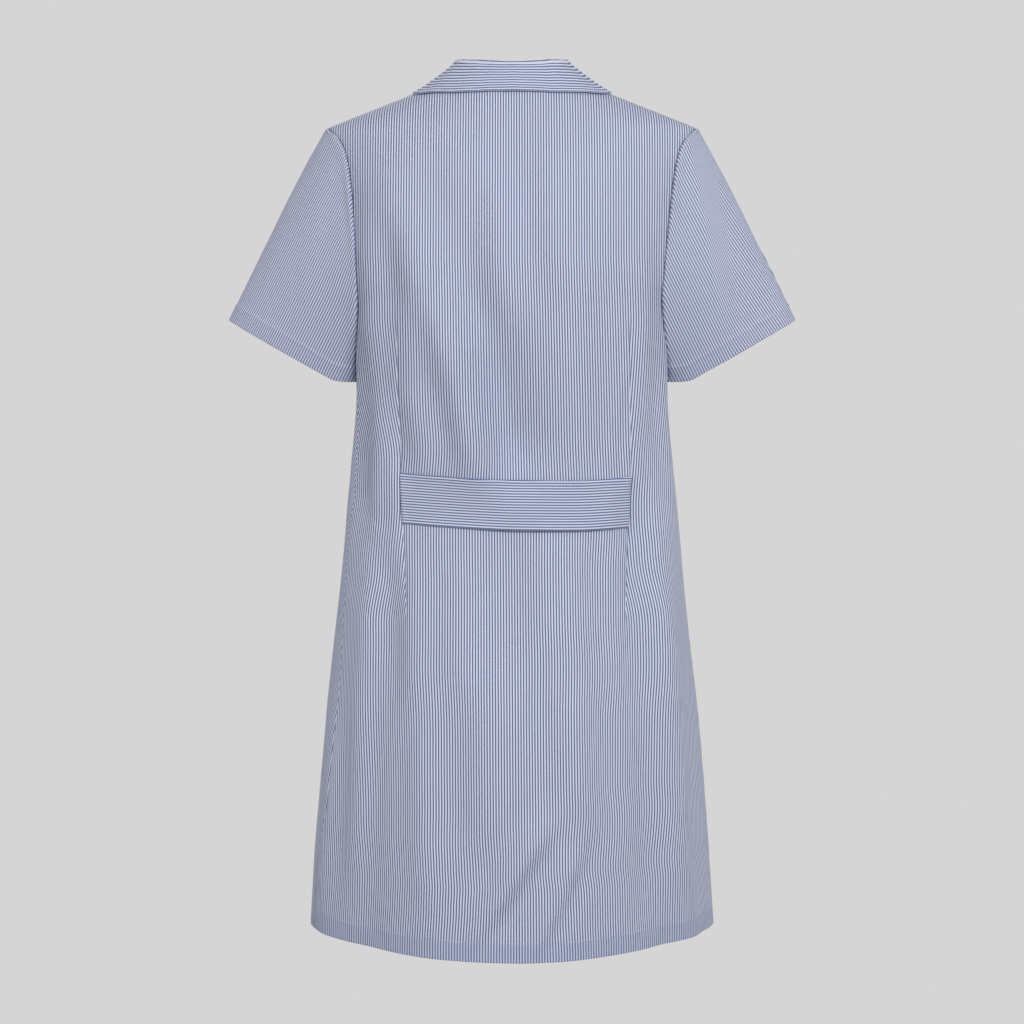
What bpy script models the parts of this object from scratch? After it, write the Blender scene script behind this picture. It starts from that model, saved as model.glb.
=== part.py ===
import math
from collections import namedtuple

import bmesh
import bpy
import numpy as np
from mathutils import Matrix, Vector

# A knee-length nurse uniform dress, filled out as worn, in metres.
# +Z is up, the front faces -Y and the wearer's left is +X.
# The origin lies between the two neck points, where the shoulder seams meet the collar.

# Cloth and seams
CLOTH = 0.0012
SEAM_GAP = 0.0003
LAID_GAP = 0.0008

# Levels of the cut
SHOULDER_TIP = -0.0536
UNDERARM = -0.254
SIDE_HEM = -0.9525
BACK_HEM_DROP = 0.0085

# Neckline
NECK_HALF_WIDTH = 0.070
BACK_NECK_DROP = 0.015
FRONT_NECK_DROP = 0.078
NECK_CURVE = 1.5

# Front closure
LAP = 0.016
LAP_BLEND = 0.030
BUTTONS = 8
BUTTON_RADIUS = 0.009
BUTTON_THICKNESS = 0.0032
FIRST_BUTTON = -0.098
BUTTON_PITCH = 0.098
BUTTON_GAP = 0.0004
BUTTON_SIDES = 14
# Outline of a button from its middle out and back, as shares of its radius and thickness
BUTTON_OUTLINE = (
    (0.00, 0.00),
    (0.92, 0.00),
    (1.00, 0.30),
    (1.00, 0.75),
    (0.90, 1.00),
    (0.74, 1.00),
    (0.64, 0.70),
    (0.00, 0.70),
)

# Horizontal sections of the dress: half width, depth behind and in front of the side line, and how
# square each half is (2 is an ellipse)
Section = namedtuple("Section", "level half_width back front back_square front_square")
SECTIONS = (
    Section(0.000, 0.0700, 0.040, 0.046, 2.10, 2.10),
    Section(-0.015, 0.1078, 0.048, 0.060, 2.15, 2.10),
    Section(-0.050, 0.1960, 0.068, 0.078, 2.25, 2.15),
    Section(-0.0536, 0.2051, 0.070, 0.080, 2.25, 2.15),
    Section(-0.090, 0.1980, 0.088, 0.092, 2.30, 2.20),
    Section(-0.137, 0.1900, 0.101, 0.107, 2.30, 2.20),
    Section(-0.180, 0.1860, 0.106, 0.120, 2.30, 2.20),
    Section(-0.220, 0.1805, 0.107, 0.130, 2.30, 2.20),
    Section(-0.254, 0.1746, 0.106, 0.135, 2.25, 2.20),
    Section(-0.348, 0.1750, 0.096, 0.140, 2.20, 2.15),
    Section(-0.429, 0.1814, 0.087, 0.138, 2.20, 2.10),
    Section(-0.482, 0.1866, 0.086, 0.137, 2.20, 2.10),
    Section(-0.537, 0.1914, 0.094, 0.138, 2.15, 2.10),
    Section(-0.619, 0.2004, 0.112, 0.141, 2.05, 2.05),
    Section(-0.701, 0.2100, 0.127, 0.145, 1.95, 2.05),
    Section(-0.783, 0.2178, 0.137, 0.149, 1.85, 2.00),
    Section(-0.866, 0.2246, 0.145, 0.152, 1.75, 2.00),
    Section(-0.961, 0.2310, 0.151, 0.155, 1.70, 2.00),
)

# Seam round each armhole: how far the back and front reach to the side at each level
Armhole = namedtuple("Armhole", "level back front")
ARMHOLE = (
    Armhole(-0.2540, 0.1746, 0.1746),
    Armhole(-0.2515, 0.1716, 0.1712),
    Armhole(-0.2445, 0.1686, 0.1672),
    Armhole(-0.2310, 0.1680, 0.1650),
    Armhole(-0.2080, 0.1686, 0.1645),
    Armhole(-0.1780, 0.1703, 0.1655),
    Armhole(-0.1480, 0.1730, 0.1680),
    Armhole(-0.1180, 0.1765, 0.1720),
    Armhole(-0.0930, 0.1808, 0.1775),
    Armhole(-0.0760, 0.1862, 0.1848),
    Armhole(-0.0630, 0.1950, 0.1945),
    Armhole(-0.0536, 0.2051, 0.2051),
)

# The dress hangs a little turned: side seams in degrees behind the side line, and the centre back's shift
Turn = namedtuple("Turn", "level left_seam right_seam centre_back")
TURNS = (
    Turn(-0.200, 0.0, 0.0, 0.0000),
    Turn(-0.254, 0.0, 0.0, -0.0012),
    Turn(-0.350, 6.0, 0.5, -0.0030),
    Turn(-0.480, 13.0, 1.0, -0.0055),
    Turn(-0.600, 18.0, 1.5, -0.0065),
    Turn(-0.720, 21.5, 2.0, -0.0070),
    Turn(-0.800, 21.5, 2.0, -0.0075),
    Turn(-0.870, 15.0, 2.0, -0.0080),
    Turn(-0.961, 13.0, 2.0, -0.0080),
)

# Fish-eye darts: distance from the centre back, and how deep their crease is
Dart = namedtuple("Dart", "level reach crease")
DARTS = (
    Dart(-0.200, 0.1262, 0.0000),
    Dart(-0.276, 0.1267, 0.0000),
    Dart(-0.360, 0.1270, 0.0010),
    Dart(-0.470, 0.1265, 0.0016),
    Dart(-0.540, 0.1240, 0.0010),
    Dart(-0.605, 0.1207, 0.0000),
    Dart(-0.720, 0.1190, 0.0000),
)
DART_HALF_WIDTH = 0.005

# Front centre level of the row that runs to the shoulder tips, and the back's
FRONT_YOKE = -0.130
BACK_YOKE = -0.070

# Grid of the panels
SKIRT_ROWS = 20
YOKE_ROWS = 5
SIDE_COLUMNS = 5
MIDDLE_COLUMNS = 12
FRONT_COLUMNS = 10
BELT_ROWS = 3
BELT_COLUMNS = 14
COLLAR_BACK_COLUMNS = 6
COLLAR_FRONT_COLUMNS = 8

# Largest soft folds: where each starts and ends, its angle round the dress at both ends, its half
# width in degrees and its height (a trough where negative)
Fold = namedtuple("Fold", "top bottom top_angle bottom_angle half_width height")
FOLDS = (
    Fold(-0.52, -1.02, 34, 24, 7, 0.0040),
    Fold(-0.50, -1.02, 48, 42, 6, -0.0040),
    Fold(-0.56, -1.04, 66, 62, 8, 0.0035),
    Fold(-0.60, -1.06, 86, 88, 9, -0.0025),
    Fold(-0.62, -1.05, 104, 112, 8, 0.0030),
    Fold(-0.52, -1.02, 136, 140, 6, -0.0055),
    Fold(-0.54, -1.02, 150, 154, 5, 0.0045),
    Fold(-0.42, -1.03, -22, -20, 9, -0.0040),
    Fold(-0.38, -1.05, -52, -56, 10, 0.0045),
    Fold(-0.44, -1.04, -78, -76, 8, -0.0030),
    Fold(-0.40, -1.04, -106, -112, 9, 0.0040),
    Fold(-0.36, -1.02, -140, -142, 9, -0.0045),
    Fold(-0.06, -0.36, 118, 66, 9, 0.0025),
    Fold(-0.24, -0.50, 18, 30, 8, -0.0030),
    Fold(-0.24, -0.50, 162, 152, 8, -0.0030),
)
# How soon a fold reaches its height below its start, and how soon it fades at its end
FOLD_RISE = 1.8
FOLD_FADE = 6.0

# Half belt: level of its middle line from the left dart (1) to the right dart (-1), and how far it stands off
BELT_HEIGHT = 0.055
Belt = namedtuple("Belt", "level middle stand_off")
BELT = (
    Belt(-1.0, -0.4678, 0.0000),
    Belt(-0.5, -0.4705, 0.0030),
    Belt(0.0, -0.4697, 0.0034),
    Belt(0.5, -0.4668, 0.0012),
    Belt(1.0, -0.4629, 0.0000),
)
# How much of its stand-off the belt has at its lower and its upper edge
BELT_LOWER_SHARE = 1.2
BELT_UPPER_SHARE = 0.6

# Collar, from the centre back (0) over the shoulder (0.45) to the front edge (1): how high its stand is
# and how far it leans in, then its outer edge's angle, level and clearance on the dress
Collar = namedtuple("Collar", "level height lean edge_angle edge_level stand_off")
COLLAR = (
    Collar(0.00, 0.0315, 0.0060, 90.0, -0.0185, 0.0050),
    Collar(0.18, 0.0295, 0.0065, 62.0, -0.0195, 0.0042),
    Collar(0.34, 0.0240, 0.0070, 28.0, -0.0172, 0.0030),
    Collar(0.45, 0.0215, 0.0072, 0.0, -0.0130, 0.0022),
    Collar(0.60, 0.0215, 0.0060, -46.0, -0.0280, 0.0026),
    Collar(0.80, 0.0205, 0.0030, -69.0, -0.0680, 0.0032),
    Collar(1.00, 0.0190, 0.0000, -77.0, -0.1200, 0.0036),
)
COLLAR_SHOULDER = 0.45
NECK_AXIS = -0.018
COLLAR_GAP = 0.0008
COLLAR_SPLIT = 0.003
# Radius of the collar's fold, how round it is, and how far down the fall its rows lie
COLLAR_FOLD = 0.0022
FOLD_SIDE = 0.7
FALL_SHARES = (0, 0.3, 0.65, 1)
FALL_CURVE = 1.3

# Sleeve hem: its outer and inner ends, half its depth, and how much its inner end turns up
HEM_OUTER = Vector((0.3190, -0.020, -0.2668))
HEM_INNER = Vector((0.1760, -0.031, -0.3487))
HEM_HALF_DEPTH = 0.034
HEM_TURN_UP = 0.013
HEM_TURN_FROM = 0.62
HEM_TURN_CURVE = 1.3
HEM_SQUARE = 2.3
CAP_ROUND = 0.0030
UNDERARM_ROUND = 0.0050
ROUND_SHIFT = 0.6
# How far down each sleeve its rings lie
SLEEVE_RINGS = (0.0, 0.06, 0.20, 0.42, 0.66, 0.87, 1.0)

STRIPED_CLOTH = (0.40, 0.46, 0.62, 1.0)
BUTTON_PLASTIC = (0.86, 0.88, 0.92, 1.0)


def smooth(table, column, level):
    # Reads a column between the rows of a table, with no overshoot
    rows = sorted(table, key=lambda row: row.level)
    at = np.array([row.level for row in rows], float)
    value = np.array([getattr(row, column) for row in rows], float)
    step = np.diff(at)
    rise = np.diff(value) / step
    slope = np.concatenate([rise[:1], np.zeros(len(at) - 2), rise[-1:]])
    for i in range(1, len(at) - 1):
        if rise[i - 1] * rise[i] > 0:
            before = 2 * step[i] + step[i - 1]
            after = step[i] + 2 * step[i - 1]
            slope[i] = (before + after) / (before / rise[i - 1] + after / rise[i])
    level = np.clip(level, at[0], at[-1])
    i = np.clip(np.searchsorted(at, level, side="right") - 1, 0, len(at) - 2)
    t = (level - at[i]) / step[i]
    start = value[i] + step[i] * slope[i] * t * (1 - t) ** 2
    end = (value[i + 1] - value[i]) * t * t * (3 - 2 * t)
    return start + end - step[i] * slope[i + 1] * t * t * (1 - t)


def ease(t):
    t = np.clip(t, 0.0, 1.0)
    return t * t * (3 - 2 * t)


def form(angle, level):
    # The dress without folds: angle 0 is the left side line, 90 degrees the back
    half_width = smooth(SECTIONS, "half_width", level)
    behind = np.sin(angle) >= 0
    depth = np.where(behind, smooth(SECTIONS, "back", level), smooth(SECTIONS, "front", level))
    square = np.where(
        behind, smooth(SECTIONS, "back_square", level), smooth(SECTIONS, "front_square", level)
    )
    across = half_width * np.sign(np.cos(angle)) * np.abs(np.cos(angle)) ** (2 / square)
    out = depth * np.sign(np.sin(angle)) * np.abs(np.sin(angle)) ** (2 / square)
    return np.stack([across, out, level + 0 * angle], axis=-1)


def angle_at(across, level, behind):
    # The angle at which the form reaches this far to the side
    column = "back_square" if behind else "front_square"
    share = np.abs(across) / smooth(SECTIONS, "half_width", level)
    turned = np.arccos(np.clip(share, 0, 1) ** (smooth(SECTIONS, column, level) / 2))
    turned = np.where(across < 0, math.pi - turned, turned)
    return turned if behind else -turned


def normals(angle, level):
    turn, rise = 0.01, 0.002
    round_way = form(angle + turn, level) - form(angle - turn, level)
    up_way = form(angle, np.minimum(level + rise, 0)) - form(angle, level - rise)
    out = np.cross(round_way, up_way)
    return out / np.linalg.norm(out, axis=-1, keepdims=True)


def fold_height(angle, level):
    height = np.zeros(np.broadcast(angle, level).shape)
    degrees = np.degrees(angle)
    for fold in FOLDS:
        down = (fold.top - level) / (fold.top - fold.bottom)
        middle = fold.top_angle + (fold.bottom_angle - fold.top_angle) * down
        away = (degrees - middle + 180) % 360 - 180
        along = ease(down * FOLD_RISE) * ease((1 - down) * FOLD_FADE)
        height += fold.height * along * np.exp(-((away / fold.half_width) ** 2))
    return height


def centre_back(level):
    return smooth(TURNS, "centre_back", level)


def dart_crease(angle, level):
    # Depth of the crease along each sewn dart
    across = form(angle, level)[..., 0] - centre_back(level)
    away = np.abs(np.abs(across) - smooth(DARTS, "reach", level))
    crease = smooth(DARTS, "crease", level) * ease(1 - away / DART_HALF_WIDTH)
    return crease * (np.sin(angle) > 0)


def smooth_cloth(angle, level, lift=0.0):
    # A point on the outside of the dress, with its folds, moved out by lift
    angle, level = np.broadcast_arrays(np.asarray(angle, float), np.asarray(level, float))
    out = fold_height(angle, level) + lift
    return form(angle, level) + normals(angle, level) * out[..., None]


def cloth(angle, level, lift=0.0):
    # The same, with the creases of the darts
    return smooth_cloth(angle, level, lift - dart_crease(angle, level))


def hem_level(angle):
    return SIDE_HEM - BACK_HEM_DROP * np.maximum(np.sin(angle), 0) ** 2


def unit(vector):
    return vector / np.linalg.norm(vector, axis=-1, keepdims=True)


def armhole_angle(level, behind):
    reach = smooth(ARMHOLE, "back" if behind else "front", level)
    return angle_at(reach, level, behind)


def neckline(share, drop):
    # Level and reach along a neckline, from the neck point (0) to the centre (1)
    turned = share * math.pi / 2
    return NECK_HALF_WIDTH * np.cos(turned), -drop * np.sin(turned) ** NECK_CURVE


def back_angles(left, right, level):
    # The back's columns on one row, with one on each dart and one on either side of it
    middle = float(centre_back(level))
    reach = float(smooth(DARTS, "reach", level))
    beside = [reach + DART_HALF_WIDTH, reach, reach - DART_HALF_WIDTH]
    to_left = [float(angle_at(middle + x, level, True)) for x in beside]
    to_right = [float(angle_at(middle - x, level, True)) for x in beside]
    return np.concatenate([
        np.linspace(left, to_left[0], SIDE_COLUMNS + 1),
        to_left[1:2],
        np.linspace(to_left[2], to_right[2], MIDDLE_COLUMNS + 1),
        to_right[1:2],
        np.linspace(to_right[0], right, SIDE_COLUMNS + 1),
    ])


def front_angles(side, level):
    # A front's columns on one row, from the side seam past the centre to the edge of the lap
    lap = [float(angle_at(x, level, False)) for x in (LAP, 0.0, -LAP)]
    return np.concatenate([np.linspace(side, lap[0], FRONT_COLUMNS + 1), lap[1:]])


def rows_of(angles_on, edges, yoke_centre, neck_angles, neck_levels):
    # The angle and level of each point of a panel, row by row from the hem to the neckline
    angles, levels = [], []
    for i in range(SKIRT_ROWS):
        flat = SIDE_HEM + (UNDERARM - SIDE_HEM) * i / SKIRT_ROWS
        row = angles_on(*edges(flat), flat)
        angles.append(row)
        levels.append(hem_level(row) + (UNDERARM - hem_level(row)) * i / SKIRT_ROWS)
    for armhole in ARMHOLE:
        row = angles_on(*edges(armhole.level), armhole.level)
        climbed = (armhole.level - UNDERARM) / (SHOULDER_TIP - UNDERARM)
        centre = UNDERARM + (yoke_centre - UNDERARM) * climbed
        inward = (np.abs(np.sin(row)) - abs(math.sin(row[0]))) / (1 - abs(math.sin(row[0])))
        angles.append(row)
        levels.append(armhole.level + (centre - armhole.level) * np.clip(inward, 0, 1) ** 2)
    tip_angles, tip_levels = angles[-1], levels[-1]
    for i in range(1, YOKE_ROWS + 1):
        share = i / YOKE_ROWS
        angles.append(tip_angles * (1 - share) + neck_angles * share)
        levels.append(tip_levels * (1 - share) + neck_levels * share)
    return np.array(angles), np.array(levels)


def side_edge(level, side):
    # A panel's edge on this row: the side seam, or the armhole above it
    column = "left_seam" if side == "left" else "right_seam"
    return math.radians(float(smooth(TURNS, column, level)))


def back_rows():
    def edges(level):
        if level > UNDERARM:
            arm = float(armhole_angle(level, True))
            return arm, math.pi - arm
        return side_edge(level, "left"), math.pi - side_edge(level, "right")

    columns = back_angles(0.0, math.pi, SHOULDER_TIP)
    across, levels = neckline(1 - np.abs(1 - columns / (math.pi / 2)), BACK_NECK_DROP)
    across = np.where(columns > math.pi / 2, -across, across)
    neck = angle_at(across, levels, True)
    return rows_of(back_angles, edges, BACK_YOKE, neck, levels)


def front_rows(side):
    def edges(level):
        return (float(armhole_angle(level, False)) if level > UNDERARM else side_edge(level, side),)

    last = math.acos(LAP / NECK_HALF_WIDTH) / (math.pi / 2)
    across, levels = neckline(np.linspace(0, last, FRONT_COLUMNS + 1), FRONT_NECK_DROP)
    across = np.concatenate([across, [0.0, -LAP]])
    levels = np.concatenate([levels, [-FRONT_NECK_DROP, -FRONT_NECK_DROP]])
    neck = angle_at(across, levels, False)
    return rows_of(front_angles, edges, FRONT_YOKE, neck, levels)


def grid_normals(points, closed=False):
    # The way each point of a grid faces, from its neighbours along rows and columns
    up = np.gradient(points, axis=0)
    if closed:
        round_way = np.roll(points, -1, axis=1) - np.roll(points, 1, axis=1)
    else:
        round_way = np.gradient(points, axis=1)
    return unit(np.cross(round_way, up))


def material(name, colour, roughness):
    made = bpy.data.materials.new(name)
    made.use_nodes = True
    shader = made.node_tree.nodes["Principled BSDF"]
    shader.inputs["Base Color"].default_value = colour
    shader.inputs["Roughness"].default_value = roughness
    shader.inputs["Metallic"].default_value = 0.0
    return made


def add_object(name, mesh, finish):
    made = bpy.data.objects.new(name, mesh)
    mesh.materials.append(finish)
    bpy.context.scene.collection.objects.link(made)
    mesh.shade_smooth()
    mesh.set_sharp_from_angle(angle=math.radians(50))
    return made


def add_wall(name, outside, inside, finish):
    # A closed wall between two grids of points. Seen from outside, rows run up and columns to the left.
    rows, columns = outside.shape[:2]
    wall = bmesh.new()
    outer = [[wall.verts.new(point) for point in row] for row in outside.tolist()]
    inner = [[wall.verts.new(point) for point in row] for row in inside.tolist()]
    for i in range(rows - 1):
        for j in range(columns - 1):
            k = j + 1
            wall.faces.new([outer[i][j], outer[i][k], outer[i + 1][k], outer[i + 1][j]])
            wall.faces.new([inner[i + 1][j], inner[i + 1][k], inner[i][k], inner[i][j]])
        wall.faces.new([outer[i][0], outer[i + 1][0], inner[i + 1][0], inner[i][0]])
        wall.faces.new([outer[i + 1][-1], outer[i][-1], inner[i][-1], inner[i + 1][-1]])
    for j in range(columns - 1):
        k = j + 1
        wall.faces.new([outer[0][k], outer[0][j], inner[0][j], inner[0][k]])
        wall.faces.new([outer[-1][j], outer[-1][k], inner[-1][k], inner[-1][j]])
    bmesh.ops.recalc_face_normals(wall, faces=wall.faces[:])
    # The four corners of a face aren't in one plane, so its diagonal is settled here
    bmesh.ops.triangulate(wall, faces=wall.faces[:], quad_method="SHORT_EDGE")
    mesh = bpy.data.meshes.new(name)
    wall.to_mesh(mesh)
    wall.free()
    return add_object(name, mesh, finish)


def add_panel(name, angles, levels, finish, lift=0.0, drawn=((0, 1),)):
    # A panel of the body: both faces come from the same form
    outside = cloth(angles, levels, lift)
    inside = cloth(angles, levels, lift - CLOTH)
    for edge, beside in drawn:
        step = unit(outside[:, beside] - outside[:, edge]) * SEAM_GAP / 2
        outside[:, edge] += step
        inside[:, edge] += step
    add_wall(name, outside, inside, finish)


def add_back(finish):
    angles, levels = back_rows()
    add_panel("back", angles, levels, finish, drawn=((0, 1), (-1, -2)))


def lap_lift(angle, level):
    # The right front rises over the left one near the centre
    across = form(angle, level)[..., 0]
    return (CLOTH + LAID_GAP) * ease((across + LAP + LAP_BLEND) / LAP_BLEND)


def add_fronts(finish):
    angles, levels = front_rows("left")
    add_panel("front_left", angles, levels, finish)
    angles, levels = front_rows("right")
    angles = math.pi - angles
    add_panel("front_right", angles, levels, finish, lap_lift(angles, levels))


def armhole_loop(side):
    # The seam round an armhole: from the shoulder tip down the back and up the front
    down = [row.level for row in reversed(ARMHOLE)]
    up = [row.level for row in ARMHOLE[1:-1]]
    levels = np.array(down + up)
    behind = np.array([float(armhole_angle(level, True)) for level in down])
    ahead = np.array([float(armhole_angle(level, False)) for level in up])
    angles = np.concatenate([behind, ahead])
    if side == "right":
        angles = math.pi - angles
    return cloth(angles, levels), normals(angles, levels)


def sleeve_rings(side):
    edge, out = armhole_loop(side)
    hand = 1 if side == "left" else -1
    flip = np.array([hand, 1, 1])
    along = unit(np.roll(edge, -1, axis=0) - np.roll(edge, 1, axis=0))
    away = np.cross(along, out) * hand
    steps = np.linalg.norm(edge - np.roll(edge, 1, axis=0), axis=1)
    walked = np.cumsum(steps) - steps[0]
    under = len(ARMHOLE) - 1
    around = np.where(
        np.arange(len(edge)) <= under,
        math.pi * walked / walked[under],
        math.pi * (1 + (walked - walked[under]) / (walked[-1] + steps[0] - walked[under])),
    )
    centre = np.array((HEM_OUTER + HEM_INNER) / 2)
    half = np.array((HEM_OUTER - HEM_INNER) / 2)
    lengthways = np.sign(np.cos(around)) * np.abs(np.cos(around)) ** (2 / HEM_SQUARE)
    depthways = np.sign(np.sin(around)) * np.abs(np.sin(around)) ** (2 / HEM_SQUARE)
    hem = centre + half * lengthways[:, None]
    hem[:, 1] += HEM_HALF_DEPTH * depthways
    inner_share = np.maximum(0, -lengthways - HEM_TURN_FROM) / (1 - HEM_TURN_FROM)
    hem[:, 2] += HEM_TURN_UP * inner_share**HEM_TURN_CURVE
    hem = hem * flip
    rounding = CAP_ROUND * (1 + np.cos(around)) / 2 + UNDERARM_ROUND * (1 - np.cos(around)) / 2

    def ring(down):
        bulge = rounding * math.sin(math.pi * down**ROUND_SHIFT)
        return edge * (1 - down) + hem * down + out * bulge[:, None]

    outside = np.array([ring(down) for down in SLEEVE_RINGS])
    facing = grid_normals(outside, closed=True) * hand
    # At the seam the sleeve's edge stays clear of the body's, whichever way it bends from it
    run = outside[1] - edge
    run = unit(run - along * np.sum(run * along, axis=1, keepdims=True))
    bend = np.arctan2(np.sum(run * out, axis=1), np.sum(run * away, axis=1))
    half_bend = np.maximum(bend, 0)[:, None] / 2
    outside[0] = edge + (away * np.cos(half_bend) + out * np.sin(half_bend)) * SEAM_GAP
    facing[0] = out * np.cos(2 * half_bend) - away * np.sin(2 * half_bend)
    return outside, outside - facing * CLOTH


def add_sleeves(finish):
    # Each sleeve is two solids, parted along its top line and its underarm line, so that its collision
    # pieces keep to the wall
    under = len(ARMHOLE) - 1
    for side in ("left", "right"):
        outside, inside = sleeve_rings(side)
        round_way = unit(np.roll(outside, -1, axis=1) - np.roll(outside, 1, axis=1))
        whole = list(range(outside.shape[1])) + [0]
        for face, columns in (("back", whole[:under + 1]), ("front", whole[under:])):
            outer, inner = outside[:, columns], inside[:, columns]
            for edge, way in ((0, 1), (-1, -1)):
                step = round_way[:, columns[edge]] * way * SEAM_GAP / 2
                outer[:, edge] += step
                inner[:, edge] += step
            add_wall(f"sleeve_{side}_{face}", outer, inner, finish)


def collar_half(side):
    # Profiles of one half of the collar, from the centre back to its front edge
    hand = 1 if side == "left" else -1
    behind_it = np.linspace(0, COLLAR_SHOULDER, COLLAR_BACK_COLUMNS + 1)
    ahead = np.linspace(COLLAR_SHOULDER, 1, COLLAR_FRONT_COLUMNS + 1)
    stations = np.concatenate([behind_it, ahead[1:]])
    last = math.acos(COLLAR_SPLIT / NECK_HALF_WIDTH) / (math.pi / 2)
    profiles = []
    for station in stations:
        behind = station < COLLAR_SHOULDER
        if behind:
            across, level = neckline(1 - station / COLLAR_SHOULDER, BACK_NECK_DROP)
        else:
            forward = (station - COLLAR_SHOULDER) / (1 - COLLAR_SHOULDER)
            across, level = neckline(forward * last, FRONT_NECK_DROP)
        angle = float(angle_at(float(across), float(level), behind))
        seat_angle = angle if hand > 0 else math.pi - angle
        edge_angle = math.radians(float(smooth(COLLAR, "edge_angle", station)))
        edge_angle = edge_angle if hand > 0 else math.pi - edge_angle
        edge_level = float(smooth(COLLAR, "edge_level", station))
        seat = cloth(seat_angle, float(level))
        inward = unit(np.array([-seat[0], NECK_AXIS - seat[1], 0.0]))
        up = np.array([0.0, 0.0, float(smooth(COLLAR, "height", station))])
        fold = seat + inward * float(smooth(COLLAR, "lean", station)) + up
        raised = normals(seat_angle, float(level))
        towards = unit(fold - seat)
        rise = float(np.dot(towards, raised))
        gap = unit(unit(towards - raised * rise) + raised * max(0.0, rise)) * COLLAR_GAP
        under = []
        for share in FALL_SHARES:
            angle = seat_angle + (edge_angle - seat_angle) * share
            fall_level = float(level) + (edge_level - float(level)) * share
            lift = float(smooth(COLLAR, "stand_off", station)) * share
            under.append(smooth_cloth(angle, fall_level, lift))
        profiles.append((seat + gap, fold, np.array(under)))
    return profiles


def add_collar(finish):
    left = collar_half("left")
    right = collar_half("right")
    stations = right[:0:-1] + left
    folds = np.array([fold for _, fold, _ in stations])
    along = unit(np.gradient(folds, axis=0))
    rows = []
    for (seat, fold, under), run in zip(stations, along):
        spread = under[-1] - seat
        spread = unit(spread - run * float(np.dot(spread, run)))
        rise = np.cross(spread, run)
        rise = rise if rise[2] > 0 else -rise
        stand_top = fold - (spread + rise) * COLLAR_FOLD
        fall_top = fold + (spread - rise) * COLLAR_FOLD
        profile = [seat + (stand_top - seat) * share for share in (0, 0.5, 1)]
        profile.append(fold - (spread * FOLD_SIDE + rise * (1 - FOLD_SIDE)) * COLLAR_FOLD)
        profile.append(fold)
        profile.append(fold + (spread * FOLD_SIDE - rise * (1 - FOLD_SIDE)) * COLLAR_FOLD)
        for share, below in zip(FALL_SHARES, under):
            profile.append(below + (fall_top - under[0]) * (1 - share) ** FALL_CURVE)
        rows.append(profile)
    outside = np.array(rows)
    facing = grid_normals(outside)
    add_wall("collar", outside, outside - facing * CLOTH, finish)


def add_half_belt(finish):
    place, height = np.meshgrid(np.linspace(1, -1, BELT_COLUMNS + 1), np.linspace(0, 1, BELT_ROWS + 1))
    level = smooth(BELT, "middle", place) + BELT_HEIGHT * (height - 0.5)
    reach = smooth(DARTS, "reach", level) * place
    angle = angle_at(centre_back(level) + reach, level, True)
    share = BELT_LOWER_SHARE + (BELT_UPPER_SHARE - BELT_LOWER_SHARE) * height
    lift = LAID_GAP + smooth(BELT, "stand_off", place) * share
    outside = smooth_cloth(angle, level, lift + CLOTH)
    inside = smooth_cloth(angle, level, lift)
    add_wall("half_belt", outside, inside, finish)


def button_mesh():
    # A turned disc with a raised rim
    disc = bmesh.new()
    verts = [disc.verts.new((x * BUTTON_RADIUS, 0, z * BUTTON_THICKNESS)) for x, z in BUTTON_OUTLINE]
    edges = [disc.edges.new(pair) for pair in zip(verts, verts[1:])]
    bmesh.ops.spin(
        disc,
        geom=verts + edges,
        cent=(0, 0, 0),
        axis=(0, 0, 1),
        angle=math.tau,
        steps=BUTTON_SIDES,
        use_merge=True,
    )
    bmesh.ops.remove_doubles(disc, verts=disc.verts[:], dist=1e-6)
    bmesh.ops.recalc_face_normals(disc, faces=disc.faces[:])
    mesh = bpy.data.meshes.new("button")
    disc.to_mesh(mesh)
    disc.free()
    return mesh


def add_buttons(finish):
    for i in range(BUTTONS):
        level = FIRST_BUTTON - i * BUTTON_PITCH
        angle = -math.pi / 2
        lift = float(lap_lift(angle, level)) + BUTTON_GAP
        place = Vector(cloth(angle, level, lift))
        facing = Vector(normals(angle, level)).to_track_quat("Z", "Y")
        button = add_object(f"button_{i + 1}", button_mesh(), finish)
        button.matrix_world = Matrix.Translation(place) @ facing.to_matrix().to_4x4()


def main():
    for old in list(bpy.data.objects):
        bpy.data.objects.remove(old)
    striped = material("striped_cloth", STRIPED_CLOTH, 0.85)
    plastic = material("button_plastic", BUTTON_PLASTIC, 0.35)
    add_back(striped)
    add_fronts(striped)
    add_sleeves(striped)
    add_collar(striped)
    add_half_belt(striped)
    add_buttons(plastic)


main()
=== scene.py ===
import math

import bmesh
import bpy
import numpy as np
from mathutils import Matrix, Vector


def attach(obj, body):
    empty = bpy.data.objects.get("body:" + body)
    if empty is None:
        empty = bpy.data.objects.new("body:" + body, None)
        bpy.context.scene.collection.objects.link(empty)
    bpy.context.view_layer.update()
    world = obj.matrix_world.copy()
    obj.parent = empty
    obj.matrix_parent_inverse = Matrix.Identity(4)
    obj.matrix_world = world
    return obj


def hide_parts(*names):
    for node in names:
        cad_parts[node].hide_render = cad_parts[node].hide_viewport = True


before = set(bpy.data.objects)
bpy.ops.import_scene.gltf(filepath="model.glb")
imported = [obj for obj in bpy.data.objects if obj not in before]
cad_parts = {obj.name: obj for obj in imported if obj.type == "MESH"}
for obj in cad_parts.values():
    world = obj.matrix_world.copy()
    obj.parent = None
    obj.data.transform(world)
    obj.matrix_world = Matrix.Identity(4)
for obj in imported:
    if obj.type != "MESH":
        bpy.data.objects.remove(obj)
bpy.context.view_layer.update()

# A striped nurse uniform dress, seen from behind. The origin is midway between the neck points,
# +Z is up, the front faces -Y and the wearer's left is +X. Everything is in metres.


def table(columns, rows):
    rows = sorted(rows)
    return dict(zip(columns.split(), np.array(rows, float).T))


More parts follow.
